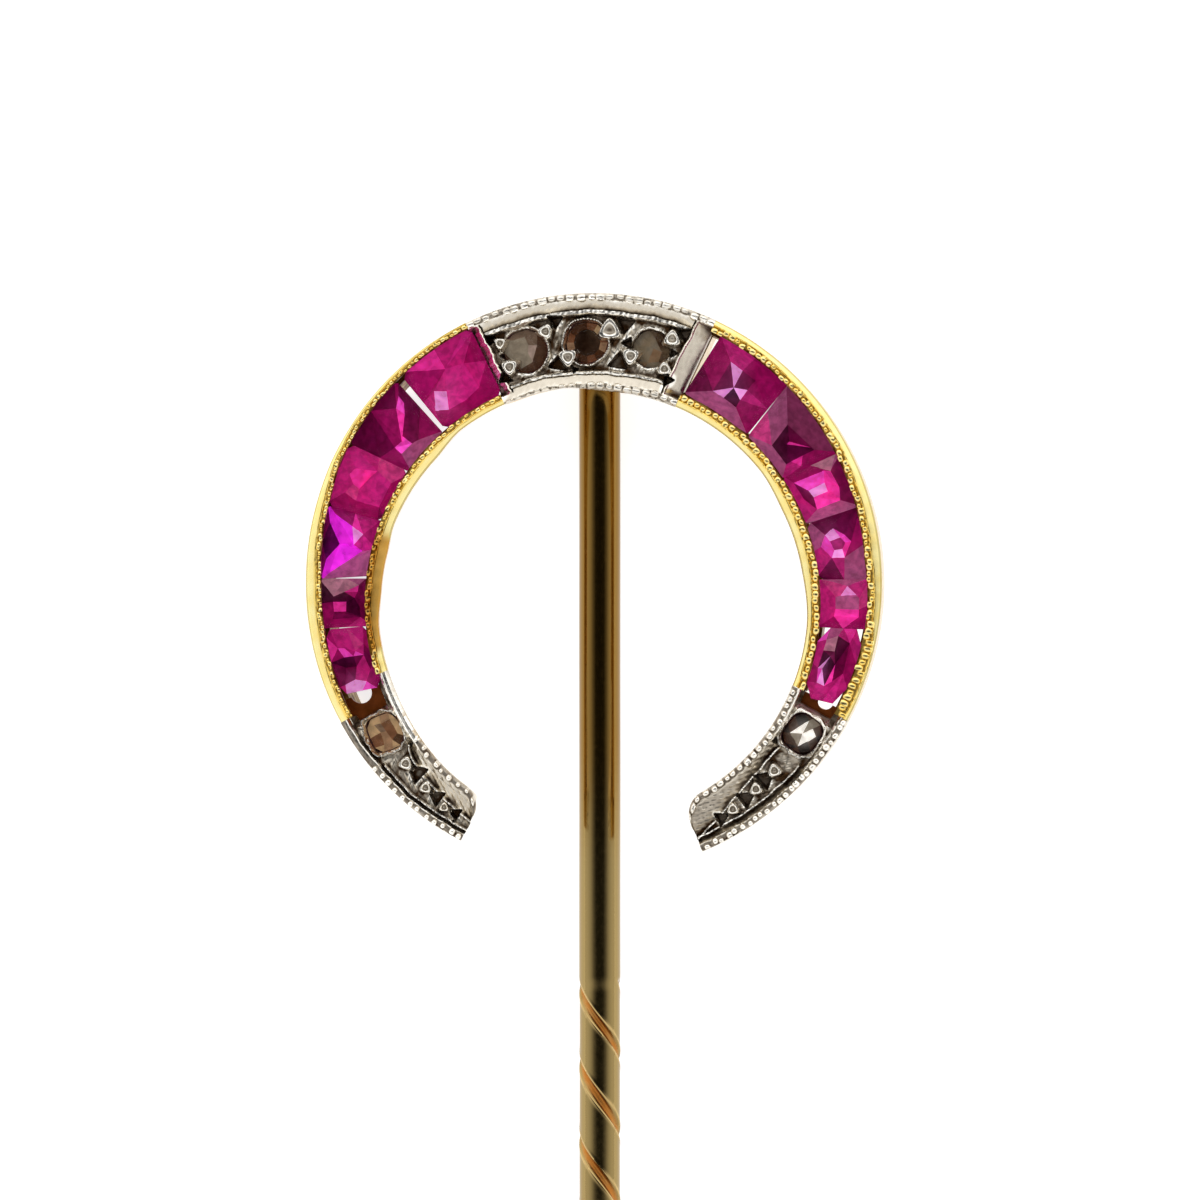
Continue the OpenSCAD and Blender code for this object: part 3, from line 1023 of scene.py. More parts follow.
@dataclass(frozen=True)
class GoldBack:
    """Gold behind the platinum facings, and the floors with the drilled through holes."""

    facing_z: float = 1.23
    floor_z: float = 1.6
    floor_thick: float = 0.2
    floor_under: float = 0.2
    # Painted shade on the floors, with the rubies' red as a painted reflection in it, and film with
    # painted shade.
    floor_painted_shade_tone: Colour = (0.5, 0.18, 0.2)
    floor_film_and_shade: float = 0.7
    soft_edge: float = 0.02
    rim_out: float = 0.05
    blocks: tuple[tuple[float, float], ...] = ((-67.5, -29.0), (64.3, 116.5), (209.4, 243.0))
    holes: tuple[Hole, ...] = (Hole(-27.0, 6.8, 0.2, -29.72), Hole(205.1, 6.77, 0.285, 210.32))
    walls: tuple[tuple[Edge, float, float], ...] = (
        (Edge.INNER, -29.2, -26.6), (Edge.OUTER, -29.2, -28.0),
        (Edge.INNER, 202.8, 209.6), (Edge.OUTER, 208.8, 209.6))

    def block(self, start: float, stop: float) -> Array:
        """Loops of a block that fills the horseshoe between two angles.

        Args:
            start: First angle in degrees.
            stop: Last angle in degrees.

        Returns:
            Grid of loops.
        """
        share = 0.5 - 0.5 * np.cos(math.pi * np.linspace(0, 1, 90)[:, None])
        angle = np.radians(start + (stop - start) * share)
        outer = np.full_like(angle, PLAN.outer_r)
        rim = self.rim_out * between(np.degrees(angle), (60, 70), (114, 122))
        top, soft = self.facing_z, self.soft_edge
        loop = [(outer - 0.1, 0.0), (outer, 0.1), (outer, 0.6), (outer, top - soft),
                (outer - soft, top), (PLAN.inner_wall(angle, top) + soft, top)]
        loop += [(PLAN.inner_wall(angle, z) - share_out * rim, z)
                 for z, share_out in ((top - soft, 1.0), (1.0, 1.6), (0.6, 2.4), (0.0, 0.0))]
        return np.concatenate(
            [arc_points(PLAN.end_angle(angle, z), reach, z) for reach, z in loop], axis=1)

    def floor(self, hole: Hole) -> Array:
        """Loops of the floor between the rails beside a facing, notched by a drilled hole.

        Args:
            hole: Hole that notches it.

        Returns:
            Grid of loops.
        """
        at, far = math.radians(hole.at), math.radians(hole.far)
        low, high = (float(PLAN.lip(edge, np.array(far))) + way * self.floor_under
                     for edge, way in ((Edge.INNER, -1), (Edge.OUTER, 1)))
        bow = hole.reach - hole.radius * np.cos(np.linspace(0, math.pi, 25))
        row = np.array([low, 0.5 * (low + bow[0]), *bow, 0.5 * (high + bow[-1]), high])[:, None]
        notch = np.sqrt(np.clip(hole.radius ** 2 - (row - hole.reach) ** 2, 0, None)) / row
        near = at + math.copysign(1.0, far - at) * notch
        low, high = self.floor_z - self.floor_thick, self.floor_z
        return np.concatenate([arc_points(angle, row, z) for angle, z in (
            (near, low), (near, high), (far, high), (far, low))], axis=1)

    def wall(self, edge: Edge, start: float, stop: float) -> Array:
        """Loops of the wall under a facing, between the end of a rail and a block.

        Args:
            edge: Side of the horseshoe that the wall is on.
            start: First angle in degrees.
            stop: Last angle in degrees.

        Returns:
            Grid of loops.
        """
        angle = np.radians(np.linspace(start, stop, 12))[:, None]
        lip = PLAN.lip(edge, angle)
        loop = [(PLAN.wall(edge, angle, z), z) for z in (0.0, 0.1, 0.6, 1.0, self.facing_z)]
        return arc_grid(angle, [*loop, (lip, self.facing_z), (lip, 0.0)])

    def build(self, draft: Draft) -> None:
        """Adds the blocks, walls and floors to a draft.

        Args:
            draft: Piece that they belong to.
        """
        # Blocks and walls take the walls' painted shade; the floors a painted shade with reflected
        # ruby red.
        shells = [(self.block(*ends), WALL_SHADE_TONE, 0.0) for ends in self.blocks]
        shells += [(self.wall(*ends), WALL_SHADE_TONE, 0.0) for ends in self.walls]
        shells += [(self.floor(hole), self.floor_painted_shade_tone, self.floor_film_and_shade) for hole in self.holes]
        for loops, tone, film_and_shade in shells:
            points, faces = loop_shell(loops)
            draft.add(points, faces, recess=np.full(len(points), film_and_shade),
                      tones=np.tile(tone, (len(faces), 1)))


@dataclass(frozen=True)
class Stem:
    """Pin stem: upper stretch, spiral stretch with two grooves, plain stretch and point."""

    radius: float = 0.55
    axis_z: float = -0.15
    reach: float = 56.0
    top: float = 6.7
    end_bevel: float = 0.15
    spiral_start: float = 10.4
    spiral_len: float = 14.0
    lead: float = 4.0
    groove_depth: float = 0.12
    groove_half: float = 0.14
    burr: float = 0.01
    spiral_in: float = 0.012
    point_len: float = 9.0
    point_r: float = 0.06
    sides: int = 112
    groove_at: float = 165.0
    upper_tone: Colour = (0.82, 0.66, 0.42)
    upper_from: tuple[float, float] = (-8.0, -4.0)

    def rows(self) -> Array:
        """Places along the stem at which it is skinned.

        Returns:
            Places along Y, from the point up.
        """
        top, low = -self.spiral_start, -self.spiral_start - self.spiral_len
        cap = np.array([0.02, 0.1])
        return np.concatenate([
            -self.reach + np.linspace(0, self.point_len, 40),
            np.linspace(-self.reach + self.point_len + 0.3, low - 0.3, 60),
            np.linspace(low - 0.2, top + 0.2, 430),
            np.linspace(top + 0.3, self.top - 0.2, 70),
            [self.top, *(self.top + cap)], [self.top + self.end_bevel]])

    def build(self, draft: Draft) -> None:
        """Adds the stem to a draft.

        Args:
            draft: Piece that the stem belongs to.
        """
        y = self.rows()[:, None]
        turn = np.linspace(0, 2 * math.pi, self.sides, endpoint=False)[None, :]
        low = -self.spiral_start - self.spiral_len
        groove = math.radians(self.groove_at) - 2 * math.pi * (y - low) / self.lead
        off = np.angle(np.exp(2j * (turn - groove))) / 2
        lead_angle = math.atan2(2 * math.pi * self.radius, self.lead)
        across = off * self.radius * math.cos(lead_angle)
        across = across + 0.012 * np.sin(y * 5.1 + 2 * turn)
        inside = between(y, (low, low + 0.5), (-self.spiral_start - 0.4, -self.spiral_start))
        cut = 1 - smooth(np.abs(across), 0.35 * self.groove_half, self.groove_half)
        burr = np.exp(-((np.abs(across) - 1.12 * self.groove_half) / 0.03) ** 2)
        radius = np.full_like(across, self.radius)
        radius = radius - self.spiral_in * inside + inside * (
            self.burr * burr - self.groove_depth * cut)
        taper = np.clip((y + self.reach) / self.point_len, 0, 1)
        radius = radius * (self.point_r + (self.radius - self.point_r) * taper) / self.radius
        radius = radius - np.clip(y - self.top, 0, None)
        radius = radius + 0.003 * np.sin(y * 0.9) * np.sin(turn + 0.4) * (taper >= 1)
        grid = np.stack(np.broadcast_arrays(
            radius * np.cos(turn), y, self.axis_z - radius * np.sin(turn)), axis=-1)
        points, faces = loop_shell(grid)
        upper = smooth(y[:-1, 0], *self.upper_from)[:, None]
        shade = 1.0 + upper * (np.array(self.upper_tone) - 1.0)
        tones = np.ones((len(faces), 3))
        tones[:-2] = np.repeat(shade, self.sides, axis=0)
        # Film with painted shade in the grooves; wear and painted highlight on the burrs.
        draft.add(points, faces, recess=(cut * inside - 0.6 * inside * burr).ravel(), tones=tones)


@dataclass
class Relief:
    """Front of a facing while it is cut: its places in plan and the height at each."""

    angle: Array
    reach: Array
    inn: Array
    height: Array = field(init=False)

    def __post_init__(self) -> None:
        """Works out the places in plan and their distances from the outer edge."""
        self.x, self.y = self.reach * np.cos(self.angle), self.reach * np.sin(self.angle)
        self.out = PLAN.outer_r - self.reach

    def shape(self, outer: Array, inner: Array, rough: Array, seed: int) -> None:
        """Sets the first heights, with rounded edges and the graver's marks.

        Args:
            outer: Profile from the outer edge, below the rails' front.
            inner: Profile from the inner edge.
            rough: Height of the graver's marks.
            seed: Number that sets the marks.
        """
        height = RAIL_Z + np.maximum(outer, inner)
        height = height + edge_round(self.out, 0.12) + edge_round(self.inn, 0.12)
        self.height = height + rough * hand_marks(self.x, self.y, seed)


def three_sided(x: Array, y: Array, size: float, turn: float, soft: float) -> Array:
    """Distance inside a triangle with rounded corners, less than 0 outside it.

    Args:
        x: Places along X from its middle.
        y: Places along Y from its middle.
        size: Distance of the sides from the middle, before rounding.
        turn: Direction of one corner in degrees.
        soft: Rounding of the corners.

    Returns:
        Distance from the nearest side, greater than 0 inside.
    """
    total = np.zeros_like(x)
    for k in range(3):
        a = math.radians(turn + 60 + 120 * k)
        side = size - x * math.cos(a) - y * math.sin(a)
        total = total + np.exp(-np.clip(side, -20 * soft, None) / soft)
    return -soft * np.log(total)


@dataclass(frozen=True)
class Grain:
    """Raised grain of a pave setting: a small rounded triangle with a cupped middle."""

    x: float
    y: float
    radius: float
    point: float
    top: float = 0.26
    cup: float = 0.1

    def cut(self, relief: Relief) -> None:
        """Raises the grain on a relief.

        Args:
            relief: Facing that is cut.
        """
        size = 1.15 * self.radius
        inside = three_sided(relief.x - self.x, relief.y - self.y, 0.9 * size, self.point,
                             0.4 * size)
        grain = FIELD_Z + self.top * smooth(inside, -0.015, 0.04)
        grain = grain - self.cup * smooth(inside, 0.25 * size, 0.5 * size)
        relief.height = np.where(inside > -0.015, np.maximum(relief.height, grain),
                                 relief.height)


@dataclass(frozen=True)
class Pit:
    """Three-sided cut beside a grain, with one steep side."""

    x: float
    y: float
    size: float
    point: float
    deep: float = 0.28
    steep_side: float = 40.0

    def cut(self, relief: Relief) -> None:
        """Sinks the pit into a relief.

        Args:
            relief: Facing that is cut.
        """
        dx, dy = relief.x - self.x, relief.y - self.y
        inside = three_sided(dx, dy, self.size, self.point, 0.02)
        side = math.radians(self.point + self.steep_side)
        lean = 1.0 + 1.6 * (dx * math.cos(side) + dy * math.sin(side))
        floor = FIELD_Z - np.clip(5.0 * inside * lean, 0, self.deep)
        relief.height = np.where(inside > 0, np.minimum(relief.height, floor), relief.height)


@dataclass(frozen=True)
class Seat:
    """Round seat of a diamond, with what is left of the thin ring round it."""

    x: float
    y: float
    radius: float
    ring: float
    ring_at: float
    ring_half: float
    ring_h: float = 0.16
    lip_z: float = FIELD_Z + 0.02
    floor_z: float = SEAT_Z
    clear: float = 0.02

    def cut(self, relief: Relief) -> None:
        """Sinks the seat into a relief and leaves its ring.

        Args:
            relief: Facing that is cut.
        """
        turn = np.arctan2(relief.y - self.y, relief.x - self.x)
        away = np.hypot(relief.x - self.x, relief.y - self.y) - self.radius - self.clear
        away = away + 0.01 * np.sin(5 * turn + self.x) + 0.006 * np.sin(11 * turn)
        off = np.abs(np.angle(np.exp(1j * (turn - math.radians(self.ring_at)))))
        left = self.ring * (1 - smooth(off, math.radians(self.ring_half - 15),
                                       math.radians(self.ring_half)))
        top = self.lip_z + self.ring_h * left
        ridge = top - self.ring_h * np.clip(np.abs(away - 0.04) / 0.045 - 0.3, 0, 1)
        height = np.where((away > 0) & (away < 0.1), np.maximum(relief.height, ridge),
                          relief.height)
        wall = self.floor_z + 0.02 + (self.lip_z - self.floor_z) * smooth(away, -0.05, 0.0)
        relief.height = np.where(away <= 0, np.minimum(wall, height), height)


def close_facing(on_arm: Callable[[Array], Array], relief: Relief, marks: Array
                 ) -> tuple[Array, list[list[int]], Array]:
    """Closes the relief of a platinum facing with walls down to the gold.

    Args:
        on_arm: Turns an angle of the relief into the head's own angle.
        relief: Relief, its columns from the outer edge inwards.
        marks: Marks of proud and recessed places.

    Returns:
        Points, faces and marks.
    """
    def wall(edge: Array, side: Edge, z: float) -> Array:
        """Points of a wall at a height."""
        drawn = on_arm(PLAN.end_angle(on_arm(edge), z))
        return arc_points(drawn, PLAN.wall(side, on_arm(edge), z), z)

    angle = relief.angle
    cols = angle.shape[1]
    steps = np.flatnonzero(np.abs(np.diff(angle[0])) > 0.002)
    under = np.unique(np.concatenate([np.arange(0, cols, 20), steps, steps + 1, [cols - 1]]))
    below = PLAN.end_angle(on_arm(angle[:, under]), FACING_FOOT_Z)
    inner = PLAN.inner_wall(below, FACING_FOOT_Z)
    spare = 0.004 * (1 + np.arange(len(under))[::-1])
    foot = inner + np.maximum(relief.reach[:, under] - inner, spare)
    levels = (FACING_FOOT_Z, 1.6, 2.03)
    grid = np.concatenate([
        *[wall(angle[:, :1], Edge.OUTER, z) for z in levels],
        arc_points(angle, relief.reach, relief.height),
        *[wall(angle[:, -1:], Edge.INNER, z) for z in levels[::-1]],
        arc_points(on_arm(below), foot, FACING_FOOT_Z)[:, ::-1]], axis=1)
    points, faces = loop_shell(grid)
    last = grid.shape[1] - 1
    caps = [[0, 1, 2, 3, last], list(range(cols + 2, cols + 7))]
    caps += [[*range(p + 3, q + 4), last - j - 1, last - j]
             for j, (p, q) in enumerate(zip(under[:-1], under[1:]))]
    end = (len(grid) - 1) * (last + 1)
    faces = faces[:-2] + [cap[::-1] for cap in caps] + [[c + end for c in cap] for cap in caps]
    return points, faces, np.pad(marks, ((0, 0), (3, 3 + len(under)))).ravel()


@dataclass(frozen=True)
class TopFacing:
    """Platinum facing over the top of the arch, with three round seats."""

    start: float = 64.5
    stop: float = 116.0
    rows: int = 530
    cols: int = 165
    seed: int = 31
    end_seed: int = 40
    outer_line_r: float = 7.2
    inner_line_r: float = 5.9
    outer_bead_r: float = 7.38
    inner_bead_r: float = 5.75
    bead_in: float = 0.105
    seats: tuple[Seat, ...] = (
        Seat(-1.77, 6.05, 0.58, 1.0, 10, 75), Seat(-0.16, 6.28, 0.55, 1.0, 180, 200),
        Seat(1.53, 6.10, 0.5, 0.15, 150, 60))
    grains: tuple[Grain, ...] = (
        Grain(-2.40, 6.25, 0.15, 270), Grain(-1.21, 6.55, 0.18, 300),
        Grain(-2.15, 5.63, 0.19, 275), Grain(-0.62, 5.88, 0.21, 275),
        Grain(0.47, 6.58, 0.25, 90), Grain(1.02, 5.90, 0.2, 262),
        Grain(2.10, 6.34, 0.2, 85), Grain(1.90, 5.56, 0.17, 330))
    pits: tuple[Pit, ...] = (
        Pit(-0.97, 6.83, 0.13, 30), Pit(-2.27, 5.36, 0.13, 95), Pit(-0.88, 5.73, 0.17, 200),
        Pit(-2.68, 6.36, 0.1, 150), Pit(0.86, 6.73, 0.16, 20), Pit(0.68, 5.76, 0.17, 200),
        Pit(2.42, 6.47, 0.13, 30), Pit(1.97, 5.27, 0.11, 0), Pit(0.93, 6.25, 0.11, 180),
        Pit(2.1, 5.98, 0.09, 0), Pit(-2.32, 5.93, 0.08, 180), Pit(-0.45, 5.56, 0.07, 20))
    outer_beads: BeadRow = BeadRow(0.25, 0.2, 0.06, 21, 0.4, 0.52)
    inner_beads: BeadRow = BeadRow(0.27, 0.19, 0.06, 22, 0.4, 0.52)
    outer_profile: Profile = (
        (0, 0), (.03, -.06), (.16, -.08), (.19, -.04), (.41, -.2), (.435, -.24), (.455, -.08),
        (.54, -.07), (.57, -.14), (.61, -.3))
    inner_profile: Profile = (
        (0, 0), (.03, -.06), (.16, -.08), (.19, -.03), (.42, -.13), (.435, -.19), (.45, -.09),
        (.5, -.08), (.53, -.14), (.57, -.3))

    def carve(self, relief: Relief) -> Array:
        """Cuts the facing's relief.

        Args:
            relief: Facing that is cut.

        Returns:
            Marks of proud and recessed places.
        """
        angle, out, inn = relief.angle, relief.out, relief.inn
        out_cut = out + waver(angle * self.outer_line_r, 0.025, self.seed)
        inn_cut = inn + waver(angle * self.inner_line_r, 0.025, self.seed + 1)
        ground = smooth(out_cut, 0.56, 0.62) * smooth(inn_cut, 0.52, 0.58)
        relief.shape(profile(out_cut, self.outer_profile), profile(inn_cut, self.inner_profile),
                     0.006 + 0.014 * ground, self.seed + 2)
        plate = self.cut_ends(relief)
        for part in (*self.seats, *self.pits, *self.grains):
            part.cut(relief)
        outer_bead = self.outer_beads.height(angle * self.outer_bead_r, out - self.bead_in)
        inner_bead = self.inner_beads.height(angle * self.inner_bead_r, inn - self.bead_in)
        relief.height = relief.height + outer_bead + inner_bead
        # Film with painted shade in the bead gaps, over the cut ground and on the end plates.
        in_beads = between(out, (0.03, 0.06), (0.16, 0.22)) + between(
            inn, (0.03, 0.06), (0.16, 0.22))
        gaps = in_beads * np.clip(1 - BEAD_FILL * (outer_bead + inner_bead), 0, 1)
        # Painted shade that dims the inner slope where it catches the light.
        bright = between(inn_cut, (0.19, 0.24), (0.38, 0.42))
        film_and_shade = 0.45 * ground * (1 - plate) + 0.5 * gaps + 0.1 * bright * (1 - plate)
        return relief_marks(relief.height, film_and_shade + 0.12 * plate)

    def cut_ends(self, relief: Relief) -> Array:
        """Slopes the two end plates down towards the rubies.

        Args:
            relief: Facing that is cut.

        Returns:
            Where the plates are, from 0 to 1.
        """
        angle, reach = relief.angle, relief.reach
        inside = smooth(relief.out, 0.2, 0.27) * smooth(
            reach - PLAN.inner_edge(angle), 0.2, 0.27)
        plates = np.zeros_like(reach)
        for end, way, run in ((self.start, 1, 0.4), (self.stop, -1, 0.22)):
            along = way * (angle - math.radians(end)) * reach
            along = along + waver(reach * (3 if way < 0 else 1), 0.03, self.end_seed + way)
            plate = profile(along, ((0, 1.76), (run, 2.08), (run + 0.03, 2.14),
                                    (run + 0.07, 2.1), (run + 0.11, FIELD_Z)))
            sloped = relief.height + inside * (plate - relief.height)
            relief.height = np.where(along < run + 0.11, sloped, relief.height)
            plates = np.maximum(plates, inside * (1 - smooth(along, run - 0.02, run)))
        return plates

    def build(self, draft: Draft) -> None:
        """Adds the facing to a draft.

        Args:
            draft: Piece that the facing is.
        """
        angle = np.radians(np.linspace(self.start, self.stop, self.rows))[:, None]
        reach = across_facing(PLAN.inner_edge(angle) + EDGE_IN, self.cols)
        angle = np.broadcast_to(angle, reach.shape)
        relief = Relief(angle, reach, PLAN.from_inner_circle(angle, reach))
        points, faces, marks = close_facing(lambda a: a, relief, self.carve(relief))
        draft.add(points, faces, recess=marks)


@dataclass(frozen=True)
class InnerLine:
    """Course of a tip's inner raised line, as its distance from the head's middle."""

    start: float
    reach: float
    rise: float
    power: float

    def at(self, angle: Array, end: float) -> Array:
        """Distance of the line from the middle, up to the angle at which the facing ends."""
        share = (angle - math.radians(self.start)) / math.radians(end - self.start)
        return self.reach + self.rise * np.clip(share, 0, 1.1) ** self.power


@dataclass(frozen=True)
class TipStone:
    """Pocket of a tip's stone: its place, half sizes and lean, and the collet's two ends."""

    at: float
    reach: float
    half_u: float
    half_v: float
    lean: float
    collet: tuple[float, float]
    power: float = 3.2
    clear: float = 0.03
    rim_z: float = 2.13


@dataclass(frozen=True)
class TipFacing:
    """Platinum facing of one end of the horseshoe, drawn on the right arm."""

    arm: Arm
    main: float
    outer: float
    inner: float
    end: float
    seed: int
    line_out: float
    line_in: InnerLine
    grains: tuple[tuple[float, float, float], ...]
    pits: tuple[tuple[float, float, float], ...]
    beads_from: tuple[float, float]
    stone: TipStone
    outer_beads: BeadRow
    inner_beads: BeadRow
    film_and_shade: float = 0.4
    rows: int = 420
    cols: int = 140
    middle_r: float = 7.0
    outer_bead_r: float = 7.38
    inner_bead_r: float = 6.05
    outer_bead_in: float = 0.1
    inner_bead_in: float = 0.11
    bead_bed: Profile = ((0, 0), (.03, -.06), (.17, -.07), (.2, -.05))
    plate: Profile = ((0, 1.72), (0.22, 1.98), (0.26, 2.02))
    bed_z: float = 1.93
    bed_to: tuple[float, float] = (-41.5, -40.5)

    def on_arm(self, angle: Array) -> Array:
        """Angle on the head that an angle of the drawing stands for."""
        return math.pi - angle if self.arm is Arm.LEFT else angle

    def carve(self, relief: Relief) -> Array:
        """Cuts the facing's relief.

        Args:
            relief: Facing that is cut.

        Returns:
            Marks of proud and recessed places.
        """
        angle, out, inn = relief.angle, relief.out, relief.inn
        along = angle * self.middle_r
        at = self.line_out
        outside = profile(out + waver(along, 0.025, self.seed + 1), (
            *self.bead_bed, (at - .05, -.25), (at - .015, -.27), (at, -.07), (at + .035, -.07),
            (at + .06, -.3)))
        line = self.line_in.at(angle, self.end) + waver(along, 0.03, self.seed)
        to_line = relief.reach - line
        edge = PLAN.inner_edge(self.on_arm(angle))
        down = np.clip((inn - 0.2) / np.clip(line - edge - 0.24, 0.05, 2), 0, 1)
        inside = profile(inn, self.bead_bed) - 0.24 * down
        inside = np.where(to_line < 0, inside, -0.3)
        ridge = profile(to_line, ((-.04, 0), (-.018, 1), (.018, 1), (.045, 0)))
        inside = inside + ridge * (-0.07 - inside)
        cut = smooth(out, 0.2, 0.26) * smooth(inn, 0.2, 0.26)
        relief.shape(outside, inside, 0.005 + 0.01 * cut, self.seed + 5)
        self.set_stone(relief)
        for kind, places, lean in ((Pit, self.pits, 90), (Grain, self.grains, 30)):
            for back, reach, size in places:
                turn = self.end + back
                kind(*polar(reach, turn), size, turn + lean).cut(relief)
        return self.add_beads(relief, cut)

    def add_beads(self, relief: Relief, cut: Array) -> Array:
        """Raises the two rows of beads.

        Args:
            relief: Facing that is cut.
            cut: Where the field between the edges is cut, from 0 to 1.

        Returns:
            Marks of proud and recessed places.
        """
        angle, out, inn = relief.angle, relief.out, relief.inn
        turn = np.degrees(angle)
        rows = [1 - smooth(turn, first - 2, first) for first in self.beads_from]
        along = angle * self.middle_r
        outer = along * self.outer_bead_r / self.middle_r
        inner = along * self.inner_bead_r / self.middle_r
        beads = [rows[0] * self.outer_beads.height(outer, out - self.outer_bead_in),
                 rows[1] * self.inner_beads.height(inner, inn - self.inner_bead_in)]
        relief.height = relief.height + beads[0] + beads[1]
        gaps = sum(between(off, (0.02, 0.06), (0.17, 0.23)) * row
                   * np.clip(1 - BEAD_FILL * bead, 0, 1)
                   for off, row, bead in zip((out, inn), rows, beads))
        # Plain bands where no beads are: the inner one takes a painted highlight, the outer one
        # film with painted shade.
        plain = (1 - smooth(inn, 0.28, 0.34)) * (1 - rows[1]) + (
            1 - smooth(out, 0.28, 0.34)) * (1 - rows[0]) * (-0.4)
        return relief_marks(relief.height, self.film_and_shade * cut + 0.55 * gaps - 1.6 * plain)

    def set_stone(self, relief: Relief) -> None:
        """Sinks the stone's pocket and raises the ragged collet round it.

        Args:
            relief: Facing that is cut.
        """
        stone, height = self.stone, relief.height
        x, y = polar(stone.reach, stone.at)
        turn = math.radians(stone.lean)
        u = (relief.x - x) * math.cos(turn) + (relief.y - y) * math.sin(turn)
        v = -(relief.x - x) * math.sin(turn) + (relief.y - y) * math.cos(turn)
        away = (np.abs(u / (stone.half_u + stone.clear)) ** stone.power
                + np.abs(v / (stone.half_v + stone.clear)) ** stone.power)
        away = (away ** (1 / stone.power) - 1) * 0.48
        around = np.arctan2(v, u)
        ragged = 0.02 * np.sin(7 * around + self.seed) + 0.015 * np.sin(13 * around)
        ground = smooth(relief.out, 0.24, 0.3) * smooth(relief.inn, 0.24, 0.3)
        plate_run = (math.radians(self.main) - relief.angle) * relief.reach
        near = 1 - smooth(relief.angle, *(math.radians(a) for a in self.bed_to))
        bed = self.bed_z + 0.03 * np.sin(9 * around)
        flat = height + ground * (1 - near) * (bed - height)
        on_plate = (plate_run < self.plate[-1][0]) & (ground > 0.5)
        slope = profile(plate_run, self.plate)
        flat = np.where(on_plate, np.minimum(flat, slope), flat)
        upper, lower = stone.collet
        left = lower + (upper - lower) * smooth(v, -0.1, 0.25)
        rise = left * (1 - smooth(np.abs(away - 0.05 + ragged), 0.015, 0.045))
        flat = np.where(away > -0.01, flat + ground * rise * (stone.rim_z - flat), flat)
        pocket = SEAT_Z + (flat - SEAT_Z) * smooth(away, -0.04, 0.01)
        relief.height = np.where(away < 0.01, np.minimum(pocket, flat), flat)

    def starts(self, reach: Array, angle: Array) -> Array:
        """Angle in radians at which the facing begins, at each distance from the middle.

        Args:
            reach: Distances from the middle.
            angle: Angle of the facing's middle part, for the rails' edges.

        Returns:
            The starting angles.
        """
        on_outer = smooth(reach - PLAN.outer_lip(angle), -0.03, 0.0)
        on_inner = smooth(PLAN.inner_lip(angle) - reach, -0.03, 0.0)
        start = self.main + on_outer * (self.outer - self.main)
        return np.radians(start + on_inner * (self.inner - self.main))

    def build(self, draft: Draft) -> None:
        """Adds the facing to a draft.

        Args:
            draft: Piece that the facing is.
        """
        down = np.linspace(0, 1, self.rows)[:, None]
        down = down + 0.02 * np.sin(math.pi * down)
        last, start = math.radians(self.end), math.radians(self.main)
        edge = PLAN.inner_edge(self.on_arm(start + (last - start) * down)) + EDGE_IN
        reach = across_facing(edge, self.cols)
        begin = self.starts(reach[:1], np.full_like(reach[:1], start))
        angle = begin + (last - begin) * down
        edge = PLAN.inner_edge(self.on_arm(angle))
        reach = np.maximum(reach, edge + EDGE_IN)
        relief = Relief(angle, reach, reach - edge)
        points, faces, marks = close_facing(self.on_arm, relief, self.carve(relief))
        if self.arm is Arm.LEFT:
            points = points * np.array([-1.0, 1.0, 1.0])
        draft.add(points, faces, recess=marks)


# Stones


class Cut(Enum):
    """Cuts of the stones' fronts."""

    STEP = "step"
    FRENCH = "french"
    ROSE = "rose"


# Colours of the stones' back facets, by letter: the stones' own colour with painted light in it;
# the darkest letters paint facets in shade, the palest painted flashes, glints and reflections.
FACET_TONES_WITH_PAINTED_LIGHT: dict[str, Colour] = {
    "k": (0.02, 0.0, 0.008),
    "d": (0.12, 0.002, 0.04),
    "c": (0.3, 0.005, 0.1),
    "m": (0.52, 0.02, 0.2),
    "p": (0.95, 0.05, 0.42),
    "h": (1.0, 0.1, 0.68),
    "z": (0.9, 0.03, 0.95),
    "l": (0.95, 0.5, 0.95),
    "g": (0.4, 0.12, 0.24),
    "r": (0.6, 0.06, 0.24),
    "q": (0.5, 0.28, 0.32),
    "e": (0.2, 0.04, 0.1),
    "w": (1.0, 0.98, 0.95),
    "b": (0.035, 0.012, 0.004),
    "n": (0.002, 0.001, 0.001),
    "s": (0.2, 0.17, 0.13),
    "u": (0.3, 0.22, 0.19),
    "v": (0.12, 0.08, 0.055),
    "t": (0.26, 0.15, 0.085),
    "y": (0.12, 0.045, 0.02),
    "o": (0.42, 0.28, 0.15)}


@dataclass(frozen=True)
class FacetPlan:
    """Facets of a stone's back, drawn as the stone is seen, on a square from -100 to 100.

    A to L are the points of the girdle, from the top left against the clock; small letters
    are the points inside, in their order. The first letter of a facet is its tone.
    """

    inner: tuple[tuple[int, int], ...]
    facets: str

    def faces(self) -> list[tuple[str, list[int]]]:
        """Tone and corners of each facet, the points of the girdle counted first."""
        letters = "ABCDEFGHIJKLabcdefghijklmno"
        return [(f[0], [letters.index(c) for c in f[1:]]) for f in self.facets.split()]


